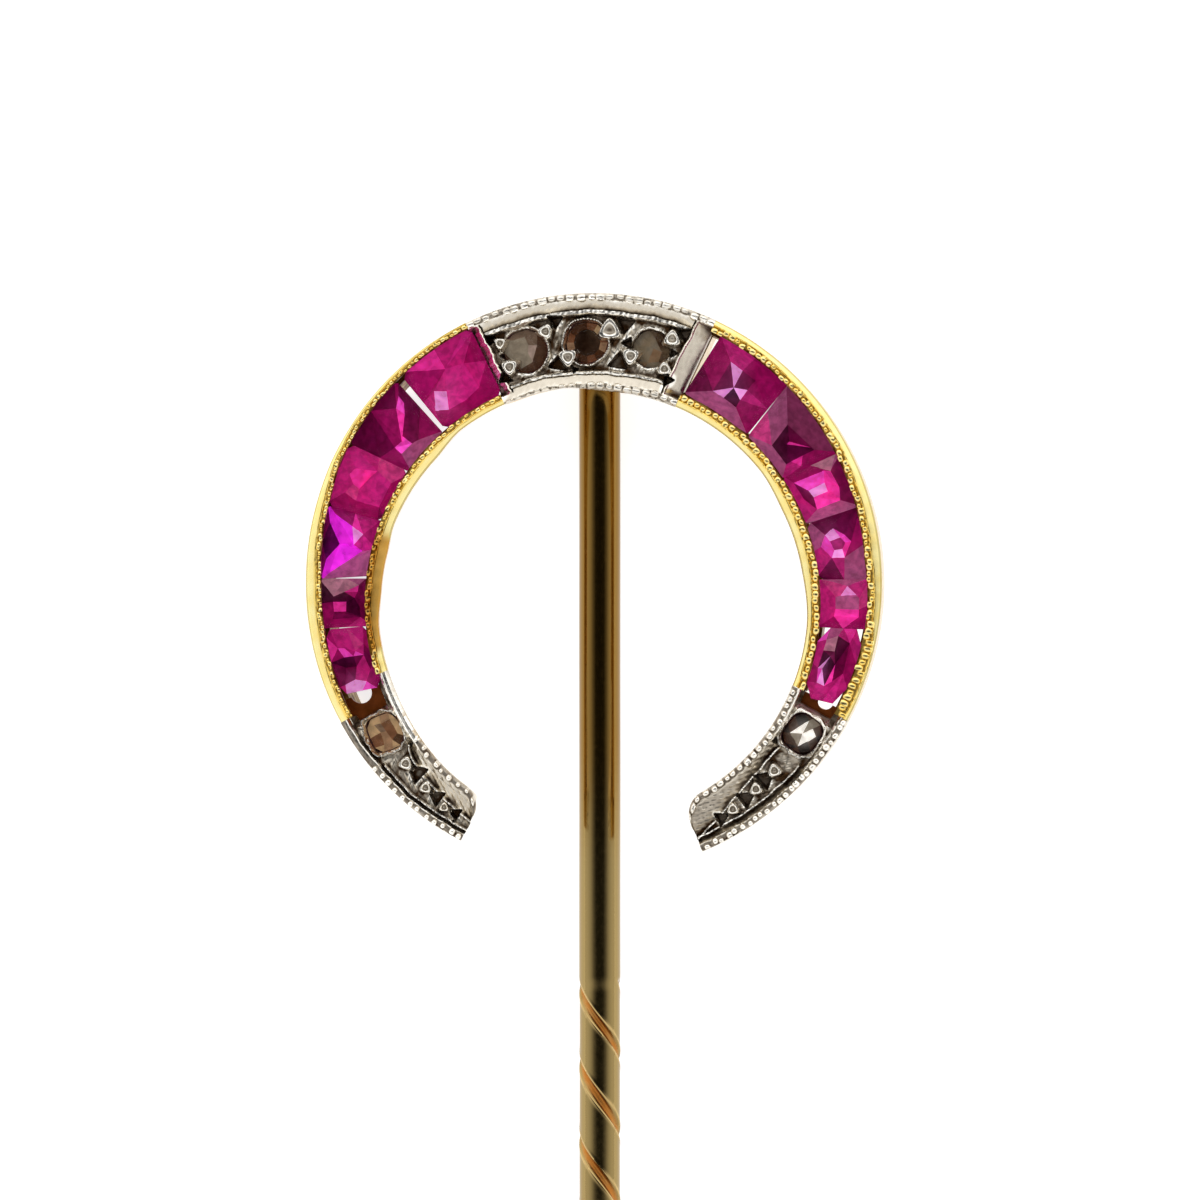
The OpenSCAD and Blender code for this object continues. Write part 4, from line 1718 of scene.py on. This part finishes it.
def crown_of(cut: Cut, ring: Array, low: float, rise: float) -> tuple[Array, list[list[int]]]:
    """Front of a stone above its girdle.

    Args:
        cut: Cut of the front.
        ring: Twelve points of the girdle in plan.
        low: Height of the girdle's upper edge.
        rise: Height of the table above it.

    Returns:
        The points after the girdle's twelve, and the faces.
    """
    middle = ring[2::3].mean(axis=0)
    if cut is Cut.STEP:
        levels = [np.column_stack([middle + scale * (ring - middle), np.full(SIDES, low + lift)])
                  for scale, lift in ((0.9, 0.6 * rise), (0.8, rise))]
        faces = [[at + i, at + SIDES + i, at + SIDES + (i + 1) % SIDES, at + (i + 1) % SIDES]
                 for at in (0, SIDES) for i in range(SIDES)]
        return np.concatenate(levels), [*faces, [2 * SIDES + i for i in range(SIDES)]]
    if cut is Cut.ROSE:
        table = middle + ROSE_TABLE * (ring[::2] + ring[1::2] - 2 * middle) / 2
        faces = [[2 * k, SIDES + k, 2 * k + 1] for k in range(6)]
        faces += [[2 * k + 1, SIDES + k, SIDES + (k + 1) % 6, (2 * k + 2) % SIDES]
                  for k in range(6)]
        return (np.column_stack([table, np.full(6, low + rise)]),
                [*faces, [SIDES + k for k in range(6)]])
    table = middle + FRENCH_TABLE * (ring[2::3] - middle)
    faces = []
    for k in range(4):
        faces += [[3 * k + 1, SIDES + k, 3 * k + 2], [3 * k + 2, SIDES + k, (3 * k + 3) % SIDES],
                  [3 * k, SIDES + (k - 1) % 4, SIDES + k, 3 * k + 1]]
    return (np.column_stack([table, np.full(4, low + rise)]),
            [*faces, [SIDES + k for k in range(4)]])


def turned(points: Array, corners: Sequence[int], up: bool) -> list[int]:
    """Corners of a face, in the order in which it looks up or down.

    Args:
        points: Points of the stone.
        corners: Corners of the face, in either order.
        up: Whether the face looks up.

    Returns:
        The corners in order.
    """
    x, y = points[corners, 0], points[corners, 1]
    turning = float((x * np.roll(y, -1) - y * np.roll(x, -1)).sum())
    return list(corners) if (turning > 0) == up else list(corners)[::-1]


@dataclass(frozen=True)
class StoneShape:
    """Stone between a drawn back, a thin girdle of twelve sides and a front with a table."""

    ring: Array
    back: Array
    plan: FacetPlan
    cut: Cut
    keel: float
    girdle_h: float
    rise: float
    soften: float

    def build(self, draft: Draft) -> None:
        """Adds the stone to a draft, its front in the first slot and its back in the second.

        Args:
            draft: Piece that the stone is.
        """
        top = SIDES + len(self.back)
        crown, crown_faces = crown_of(self.cut, self.ring, self.keel + self.girdle_h, self.rise)
        points = np.concatenate([
            np.column_stack([self.ring, np.full(SIDES, self.keel)]), self.back,
            np.column_stack([self.ring, np.full(SIDES, self.keel + self.girdle_h)]), crown])
        drawn = self.plan.faces()
        faces = [turned(points, corners, False) for _, corners in drawn]
        faces += [[i, (i + 1) % SIDES, top + (i + 1) % SIDES, top + i] for i in range(SIDES)]
        faces += [turned(points, [top + c for c in corners], True) for corners in crown_faces]
        # The girdle is toned near black: painted shade in the gaps between neighbouring stones.
        letters = [tone for tone, _ in drawn] + ["k"] * SIDES + ["c"] * len(crown_faces)
        tones = [FACET_TONES_WITH_PAINTED_LIGHT[letter] for letter in letters]
        slots = [1] * (len(drawn) + SIDES) + [0] * len(crown_faces)
        draft.add(points, faces, slots=slots, tones=tones, soften=self.soften)


@dataclass(frozen=True)
class CalibreRuby:
    """Four-sided ruby, cut to its place in the channel."""

    arm: Arm
    number: int
    corners: tuple[float, float, float, float]
    cut: Cut
    corner: float
    plan: FacetPlan
    girdle_h: float = 0.05
    crown_share: float = 0.06
    back_share: float = 0.45
    lip: float = 0.05
    keel_z: tuple[float, float] = (1.765, 1.835)
    left_seed: int = 150
    right_seed: int = 100
    uneven: float = 0.03
    soften: float = 0.15

    def under_lip(self, angle: float) -> Array:
        """Point just under the outer rail's lip at an angle in radians."""
        reach = float(PLAN.outer_lip(np.array(angle))) + self.lip
        return reach * np.array([math.cos(angle), math.sin(angle)])

    def four(self) -> list[Array]:
        """Corners of the stone in plan as seen: top left, bottom left, bottom right, top right.

        Returns:
            The four corners.
        """
        up_out, low_out, up_in, low_in = (math.radians(a) for a in self.corners)
        inner_r = (PLAN.lip_inner_r - self.lip) / math.cos((up_in - low_in) / 2)
        outer = [self.under_lip(a) for a in (up_out, low_out)]
        inner = [PLAN.on_ray(a, inner_r, -PLAN.lip_inner_drop)
                 * np.array([math.cos(a), math.sin(a)]) for a in (up_in, low_in)]
        left, right = (outer, inner) if self.arm is Arm.LEFT else (inner, outer)
        return [left[0], left[1], right[1], right[0]]

    def build(self, draft: Draft) -> None:
        """Adds the stone to a draft.

        Args:
            draft: Piece that the stone is.
        """
        seed = self.left_seed if self.arm is Arm.LEFT else self.right_seed
        rng = np.random.default_rng(seed + self.number)
        four = self.four()
        ring = []
        for i in range(4):
            before, here, after = four[i - 1], four[i], four[(i + 1) % 4]
            ring += [here + self.corner * (before - here), here + self.corner * (after - here),
                     (here + after) / 2]
        ring[2 if self.arm is Arm.LEFT else 8] = self.under_lip(
            math.radians(sum(self.corners[:2]) / 2))
        ring = np.array(ring)
        mids = ring[2::3]
        narrow = float(min(np.linalg.norm(mids[0] - mids[2]), np.linalg.norm(mids[1] - mids[3])))
        across, up = (np.array(self.plan.inner, float).T / 100)[:, :, None]
        s, t = (across + 1) / 2, (up + 1) / 2
        flat = ((1 - s) * (1 - t) * four[1] + s * (1 - t) * four[2] + s * t * four[3]
                + (1 - s) * t * four[0])
        edge = np.maximum(np.abs(across), np.abs(up))[:, 0]
        deep = self.back_share * narrow * (1 - edge ** 1.3) + self.uneven * rng.random(len(edge))
        keel = self.keel_z[self.number % 2]
        StoneShape(ring, np.column_stack([flat, keel - deep]), self.plan, self.cut, keel,
                   self.girdle_h, self.crown_share * narrow, self.soften).build(draft)


@dataclass(frozen=True)
class RoseDiamond:
    """Small flat-backed diamond with a low front."""

    name: str
    x: float
    y: float
    half_u: float
    half_v: float
    turn: float
    power: float
    plan: FacetPlan
    base_z: float = 1.62
    girdle_h: float = 0.15
    rise: float = 0.1
    seed: int = 7
    uneven: float = 0.03
    soften: float = 0.2

    def build(self, draft: Draft) -> None:
        """Adds the stone to a draft.

        Args:
            draft: Piece that the stone is.
        """
        turn = math.radians(self.turn)
        along = np.array([math.cos(turn), math.sin(turn)])
        aside = np.array([-math.sin(turn), math.cos(turn)])

        def place(u: Array, v: Array) -> Array:
            """Points at shares of the stone's half width and half length."""
            return (np.array([self.x, self.y]) + u[:, None] * self.half_u * along
                    + v[:, None] * self.half_v * aside)

        around = np.radians(120 + 30 * np.arange(SIDES))
        reach = (np.abs(np.cos(around)) ** self.power
                 + np.abs(np.sin(around)) ** self.power) ** (-1 / self.power)
        ring = place(reach * np.cos(around), reach * np.sin(around))
        across, up = np.array(self.plan.inner, float).T / 100
        rng = np.random.default_rng(len(self.name) + self.seed)
        depths = self.base_z + self.uneven * rng.random(len(up))
        back = np.column_stack([place(across, up), depths])
        StoneShape(ring, back, self.plan, Cut.ROSE, self.base_z, self.girdle_h, self.rise,
                   self.soften).build(draft)


# The whole pin


@dataclass
class StickPin:
    """All pieces of the stick pin, in the order in which a setter would assemble them."""

    effects: SharedEffects
    rails: tuple[GoldRail, ...] = (
        GoldRail(Arm.LEFT, Edge.OUTER, 116.0, 209.0, BeadRow(0.12, 0.1, 0.05, 1, 0.6, 0.6)),
        GoldRail(Arm.LEFT, Edge.INNER, 116.0, 203.0, BeadRow(0.17, 0.12, 0.055, 2, 0.6, 0.6),
                 dark=(164.0, 196.0)),
        GoldRail(Arm.RIGHT, Edge.OUTER, 64.5, -28.2, BeadRow(0.16, 0.15, 0.07, 3, 0.5, 0.62),
                 broad_below=-14.0),
        GoldRail(Arm.RIGHT, Edge.INNER, 64.5, -26.8, BeadRow(0.195, 0.17, 0.08, 4, 0.35, 0.58)))
    back: GoldBack = GoldBack()
    stem: Stem = Stem()
    top: TopFacing = TopFacing()
    tips: tuple[TipFacing, ...] = (
        TipFacing(Arm.LEFT, -30.3, -29.0, -23.0, -63.0, 61, 0.30,
                  InnerLine(-41.7, 6.40, 0.55, 0.55),
                  ((19.0, 6.78, 0.17), (12.2, 6.89, 0.15), (6.5, 7.01, 0.13)),
                  ((15.9, 6.77, 0.18), (9.2, 6.93, 0.15), (3.8, 7.01, 0.12)),
                  (-38.5, -41.0), TipStone(-35.6, 6.72, 0.43, 0.47, -22.0, (1.0, 1.0)),
                  BeadRow(0.255, 0.17, 0.11, 63, 0.3, 0.32),
                  BeadRow(0.265, 0.15, 0.11, 64, 0.4, 0.3), film_and_shade=0.15),
        TipFacing(Arm.RIGHT, -29.7, -28.2, -26.8, -67.5, 71, 0.37,
                  InnerLine(-42.0, 6.48, 0.72, 2.0),
                  ((21.9, 6.80, 0.17), (16.2, 6.84, 0.16), (9.6, 6.92, 0.15)),
                  ((19.0, 6.79, 0.17), (13.1, 6.88, 0.16), (6.4, 6.97, 0.13)),
                  (-20.0, -20.0), TipStone(-35.6, 6.72, 0.45, 0.48, -35.6, (0.2, 0.7)),
                  BeadRow(0.2, 0.17, 0.1, 65, 0.4, 0.46),
                  BeadRow(0.22, 0.19, 0.1, 66, 0.4, 0.46)))
    rubies: tuple[CalibreRuby, ...] = (
        CalibreRuby(Arm.LEFT, 1, (115.7, 132.8, 115.6, 133.9), Cut.STEP, 0.07, FacetPlan(
            ((-50, -7), (3, -37), (52, -60), (37, -88), (-15, -62), (-35, 40), (45, 45),
             (55, -5)),
            "mABCaf pCDa caDEFe mabe lbcde meFGd ccdGHIh mafghcb cALf mLgf cLKg cKJIhg")),
        CalibreRuby(Arm.LEFT, 2, (134.3, 150.3, 135.0, 148.9), Cut.FRENCH, 0.04, FacetPlan(
            ((-72, 75), (-48, 72), (-28, 48), (-58, 45), (0, -8), (12, -22), (42, -8),
             (38, -55), (10, -50), (50, 15)),
            "habcd dALba dLcb cABda pdcef dBCd cCdfi dCDEFi dLjgec cLKj heghif gKJIj gIHhgj "
            "cihHGF")),
        CalibreRuby(Arm.LEFT, 3, (150.2, 163.8, 148.8, 163.7), Cut.FRENCH, 0.08, FacetPlan(
            ((-72, 12), (-62, 35), (-40, 42), (-15, 20), (-30, -20), (-52, -12), (5, 55),
             (62, 35), (60, -55), (-20, -60), (-65, -45)),
            "pabcdef mBCab mABbcgL pcgd rLKJhg mdghie chJIHi maCDkf rfkje meji ckDEFj "
            "cjFGi diGH")),
        CalibreRuby(Arm.LEFT, 4, (163.7, 179.1, 163.6, 178.2), Cut.FRENCH, 0.03, FacetPlan(
            ((-75, 82), (-10, 58), (32, 40), (0, 3), (42, -13), (-17, -53), (-72, -83),
             (-50, 0), (-90, 55), (-90, -45)),
            "zBAahi zabdh lbcd zhdef zhfgj zjDEg kCihj dBiC dCjD cALba pLbc mLKc cKJIc mcIed "
            "gfeIH gfHGF ggfFE")),
        CalibreRuby(Arm.LEFT, 5, (179.0, 189.5, 178.8, 190.8), Cut.STEP, 0.04, FacetPlan(
            ((55, 73), (-12, 45), (-57, 27), (-60, 5), (-8, 5), (-8, -35), (-58, -35),
             (45, 45), (30, 20), (55, -20), (60, -60), (-65, -65)),
            "qALbcB qLab gLKa kBCdc kcbed pdefg pbah cbhi kbie daKJIh dhIji kijfe cCDlgd "
            "dgfkl kfjk djIHk clFk mkFGH cDEFl")),
        CalibreRuby(Arm.LEFT, 6, (189.8, 203.9, 190.7, 206.0), Cut.STEP, 0.12, FacetPlan(
            ((-68, 40), (-40, 38), (-12, 10), (-52, 10), (5, 25), (40, 10), (-8, -22),
             (-55, -22), (55, 45), (60, -45), (-75, -72), (-25, -62), (28, -74)),
            "mALba cAaB pBaC habcd cadC mLeb rLie hcef cbec mLKi cKJIi meif diIf kdcgh kCdh "
            "dcfg mfjg dfIj dChkD dhglk mgjml cjIHGm lklFE llmF hmGF mDkE")),
        CalibreRuby(Arm.RIGHT, 1, (62.4, 45.3, 64.0, 43.7), Cut.FRENCH, 0.02, FacetPlan(
            ((-48, 45), (52, 48), (50, -28), (-50, -28), (-48, 12), (-5, 8), (-25, -25),
             (13, -25), (52, 12)),
            "gBCea gCDde gABa dALa cLba cLKb mKJIib cIHci cDEFgd mFhg cFGHch lafe dabf lbif "
            "kefgd lfhg dfich")),
        CalibreRuby(Arm.RIGHT, 2, (45.4, 27.7, 43.3, 28.6), Cut.STEP, 0.03, FacetPlan(
            ((-60, 20), (22, 35), (43, -63), (-62, -58), (-20, -5), (-8, -3), (37, -52),
             (-45, -58), (0, -60), (-25, -85)),
            "kaed kabfe pefg dbcgf kdegcih rALa gAaB gLba gLKb gBaC gCad gCdD eKJIb ebIc "
            "eIHc phij mDdhjE cicFj cjFE ccHGF")),
        CalibreRuby(Arm.RIGHT, 3, (27.8, 15.9, 28.7, 15.3), Cut.STEP, 0.04, FacetPlan(
            ((-75, 68), (35, 65), (20, 25), (-42, 20), (18, -8), (-35, -10), (48, -55),
             (-42, -58), (55, 55), (62, -10), (-68, -5)),
            "cALa cLba cLib qLKi gKJi habcd ldcef dadfk pfegh dkfh pbijc pcjge mAaB mBakC "
            "mCkhD dJIji dIHgj gDhFE ghgF ggHGF")),
        CalibreRuby(Arm.RIGHT, 4, (16.0, 0.7, 15.4, 0.8), Cut.FRENCH, 0.08, FacetPlan(
            ((-67, 12), (-42, 47), (-8, 62), (30, 35), (52, 12), (15, -32), (-35, -28),
             (-30, 25), (12, 30), (28, 12), (12, -5), (-20, -5)),
            "habh lbcih hcdi hdeji pefkj lfglk hgahl chijkl dALcb gAbB gBbaC mCagD dLKdc "
            "dKJed cJIe ceIf gfIH gfHGF mgfF dDgFE")),
        CalibreRuby(Arm.RIGHT, 5, (0.8, -9.6, 0.9, -11.0), Cut.STEP, 0.03, FacetPlan(
            ((13, 73), (50, 37), (-15, 33), (-35, 28), (62, 25), (62, -22), (-35, -22),
             (-40, -52), (62, -52)),
            "labc gLKa mKJeba gALa rAacd mAdB mBdgC mCghD gdcbefg pgfih rJIfe cIHif cDhFE "
            "phiF ciHGF")),
        CalibreRuby(Arm.RIGHT, 6, (-9.5, -26.2, -10.9, -28.3), Cut.STEP, 0.22, FacetPlan(
            ((-60, 65), (-15, 78), (-12, 35), (-62, 35), (45, 60), (-25, 20), (-65, -15),
             (-45, -15), (-12, -60), (-52, -55), (8, 0), (18, -45), (58, -20)),
            "gALba hAaB qabcd mBadC mLeb kbekc pLKe mKJIe ceIm demk ddckf kdfg mCdg lfgh "
            "hghj lhij kfkih pkli dkml cCgjD mDjE mjiFE milF cmIH mlmHGF")))
    diamonds: tuple[RoseDiamond, ...] = (
        RoseDiamond("top_left", -1.77, 6.05, 0.58, 0.58, 0, 2.0, FacetPlan(
            ((-55, 50), (-5, 65), (12, 30), (50, 28), (30, -45), (-15, -72), (-60, -40),
             (10, -5)),
            "vLAab vABa sBCga bCDg vDEfg bEFf bFGef bGHe bHIde bIJd bJKd vKLbcd uhedc saghcb "
            "sgfeh")),
        RoseDiamond("top_middle", -0.16, 6.28, 0.55, 0.55, 0, 2.0, FacetPlan(
            ((-31, 54), (-54, 31), (-62, 0), (-54, -31), (-31, -54), (0, -62), (31, -54),
             (54, -31), (62, 0), (54, 31), (31, 54), (0, 62)),
            "bABba yBCcb tCDdc yDEed bEFfe yFGgf bGHhg tHIih yIJji oJKkj yKLlk bLAal "
            "nabcdefghijkl")),
        RoseDiamond("top_right", 1.53, 6.10, 0.5, 0.5, 40, 2.0, FacetPlan(
            ((-55, 50), (-5, 65), (12, 30), (50, 28), (30, -45), (-15, -72), (-60, -40),
             (10, -5)),
            "sLAab sABa sBCga tCDg sDEfg sEFf bFGef bGHe bHIde bIJd vJKd sKLbcd shedc saghcb "
            "tgfeh")),
        RoseDiamond("tip_left", -5.4642, -3.9117, 0.43, 0.47, 22.0, 4.0, FacetPlan(
            ((-50, 60), (-8, 55), (50, 60), (-30, 10), (5, 5), (-35, -60), (20, -50),
             (62, -30)),
            "oLAab oABa oBCda yCDfd oDEf tEFgf oFGg bGHhg oHIh oIJch oJKc tKLbc vadeb tdfge "
            "yegh ybehc")),
        RoseDiamond("tip_right", 5.4642, -3.9117, 0.45, 0.48, -35.6, 3.2, FacetPlan(
            ((-60, -35), (-12, 75), (70, 28), (20, -68), (0, 0), (-40, 20), (30, 52),
             (48, -20)),
            "bLAb nABfb bBCaf nCDa bDEda nEFd bFGd nGHhd bHIch nIJc bJKgc sKLbg webf wefa "
            "sead wedh wehc wecg segb")))

    def add(self, part: Part, name: str, slot: Slot, node: str,
            materials: Sequence[bpy.types.Material], crease: float | None = 38.0) -> None:
        """Builds a piece, lets it ride on the pin and says which node it stands for.

        Args:
            part: What the piece is built from.
            name: Name of the piece.
            slot: Slot of the record; not used.
            node: CAD node that it stands for.
            materials: Its materials.
            crease: Angle above which edges are sharp; None keeps facets flat.
        """
        draft = Draft()
        part.build(draft)
        piece = draft.build(name, materials, crease)
        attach(piece, "root")
        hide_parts(node)
        log.info("%s: %d faces, stands for %s", name, len(draft.faces), node)

    def build(self) -> None:
        """Builds every piece."""
        gold, stem_gold, platinum, *stones = [finish.material(self.effects) for finish in (
            GOLD, STEM_GOLD, PLATINUM, RUBY_CROWN, RUBY_DEPTHS, DIAMOND_CROWN, DIAMOND_DEPTHS,
            CLOUDY_DEPTHS)]
        ruby, diamond, cloudy = stones[:2], stones[2:4], stones[2::2]
        for rail in self.rails:
            self.add(rail, f"gold_rail_{rail.edge.value}_{rail.arm.value}", Slot.GOLD,
                     "gold_body", [gold])
        self.add(self.back, "gold_back", Slot.GOLD, "gold_body", [gold])
        self.add(self.stem, "gold_stem", Slot.GOLD, "gold_body", [stem_gold])
        self.add(self.top, "facing_top", Slot.PLATINUM, "platinum_top", [platinum])
        for tip in self.tips:
            self.add(tip, f"facing_tip_{tip.arm.value}", Slot.PLATINUM,
                     f"platinum_tip_{tip.arm.value}", [platinum])
        for stone in self.rubies:
            label = f"{stone.arm.value}_{stone.number}"
            self.add(stone, f"cut_ruby_{label}", Slot.RUBY, f"ruby_{label}", ruby, None)
        for gem in self.diamonds:
            self.add(gem, f"rose_diamond_{gem.name}", Slot.DIAMOND, f"diamond_{gem.name}",
                     cloudy if gem.name == "top_right" else diamond, None)


@dataclass(frozen=True)
class Studio:
    """White table, soft light with a dark gap overhead for the camera, and the camera."""

    distance: float = 110.0
    middle: tuple[float, float] = (0.12, 23.81)
    width: float = 31.17
    sensor: float = 36.0
    aim_z: float = 2.9
    floor_half: float = 0.6
    gap_x: float = 0.62
    gap_y: float = 0.24
    brightness: tuple[tuple[float, float], ...] = (
        (0.0, 0.015), (0.66, 0.025), (1.0, 0.2), (1.35, 0.62), (1.62, 0.92), (2.2, 1.05),
        (5.0, 1.15))
    strength: float = 1.15
    upper_gain: float = 0.25
    table_tone: float = 0.6
    table_glow: float = 0.8
    lamps: tuple[tuple[str, tuple[float, float, float], float], ...] = (
        ("side_lamp_left", (-0.35, 0.1, 0.22), 2.2), ("side_lamp_right", (0.35, 0.08, 0.25), 1.8))
    lamp_size: float = 0.22
    lamp_aim: tuple[float, float, float] = (0.0, 0.0238, 0.0)

    def light(self) -> None:
        """Sets the surrounding light: soft boxes with a dark gap between them overhead."""
        world = bpy.data.worlds.new("studio")
        bpy.context.scene.world = world
        world.use_nodes = True
        nodes = Nodes(world.node_tree)
        way = nodes.node("TexCoord", {}).outputs["Generated"]
        parts = nodes.node("SeparateXYZ", {0: way}).outputs
        shares = [nodes.math("DIVIDE", parts["X"], self.gap_x),
                  nodes.math("DIVIDE", parts["Y"], self.gap_y)]
        squares = [nodes.math("MULTIPLY", share, share) for share in shares]
        away = nodes.math("SQRT", nodes.math("ADD", *squares))
        reach = self.brightness[-1][0]
        ramp = nodes.node("ValToRGB", {0: nodes.math("MULTIPLY", away, 1 / reach)})
        ends = ramp.color_ramp.elements
        for place, _ in self.brightness[1:-1]:
            ends.new(place / reach)
        for stop, (place, value) in zip(ends, self.brightness):
            stop.position = place / reach
            stop.color = (value, value, value, 1.0)
        lift = nodes.math("MULTIPLY_ADD", parts["Y"], self.upper_gain, self.strength)
        nodes.feed(nodes.tree.nodes["Background"], {
            "Color": ramp.outputs["Color"], "Strength": lift})

    def lamp(self, name: str, place: tuple[float, float, float], power: float) -> None:
        """Adds a square soft lamp that looks at the head.

        Args:
            name: Name of the lamp.
            place: Where it hangs, in metres.
            power: Power in watts.
        """
        data = bpy.data.lights.new(name, "AREA")
        data.size = self.lamp_size
        data.energy = power
        lamp = place_object(name, data)
        lamp.location = place
        aim = np.array(self.lamp_aim) - np.array(place)
        yaw = math.atan2(aim[1], aim[0])
        pitch = math.acos(-aim[2] / float(np.linalg.norm(aim)))
        lamp.rotation_euler = (0.0, -pitch, yaw + math.pi)

    def table(self) -> None:
        """Lays the pale table."""
        half = self.floor_half
        mesh = bpy.data.meshes.new("table")
        mesh.from_pydata([(x * half, y * half, 0) for x, y in (
            (-1, -1), (1, -1), (1, 1), (-1, 1))], [], [(0, 1, 2, 3)])
        mesh.materials.append(NewMaterial(
            "table_white", Base_Color=(*[self.table_tone] * 3, 1.0), Roughness=0.9,
            Emission_Color=(1.0, 1.0, 1.0, 1.0),
            Emission_Strength=self.table_glow).material)
        table = place_object("table", mesh)

    def camera(self) -> None:
        """Hangs the camera over the head, at the photo's angle."""
        data = bpy.data.cameras.new("camera")
        data.sensor_width = self.sensor
        data.lens = self.sensor * self.distance / self.width
        data.clip_start = 0.005
        camera = place_object("camera", data)
        camera.location = (*(v / MM for v in self.middle), (self.distance + self.aim_z) / MM)
        bpy.context.scene.camera = camera
        bpy.context.scene.view_settings.view_transform = "Standard"

    def build(self) -> None:
        """Builds the table, the lights and the camera."""
        self.table()
        self.light()
        for lamp in self.lamps:
            self.lamp(*lamp)
        self.camera()
        log.info("table, lamps and camera are set")


def main() -> None:
    """Builds the pin and the studio."""
    logging.basicConfig(level=logging.INFO, format="%(message)s")
    StickPin(SharedEffects()).build()
    Studio().build()
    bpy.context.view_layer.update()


if __name__ == "__main__":
    main()
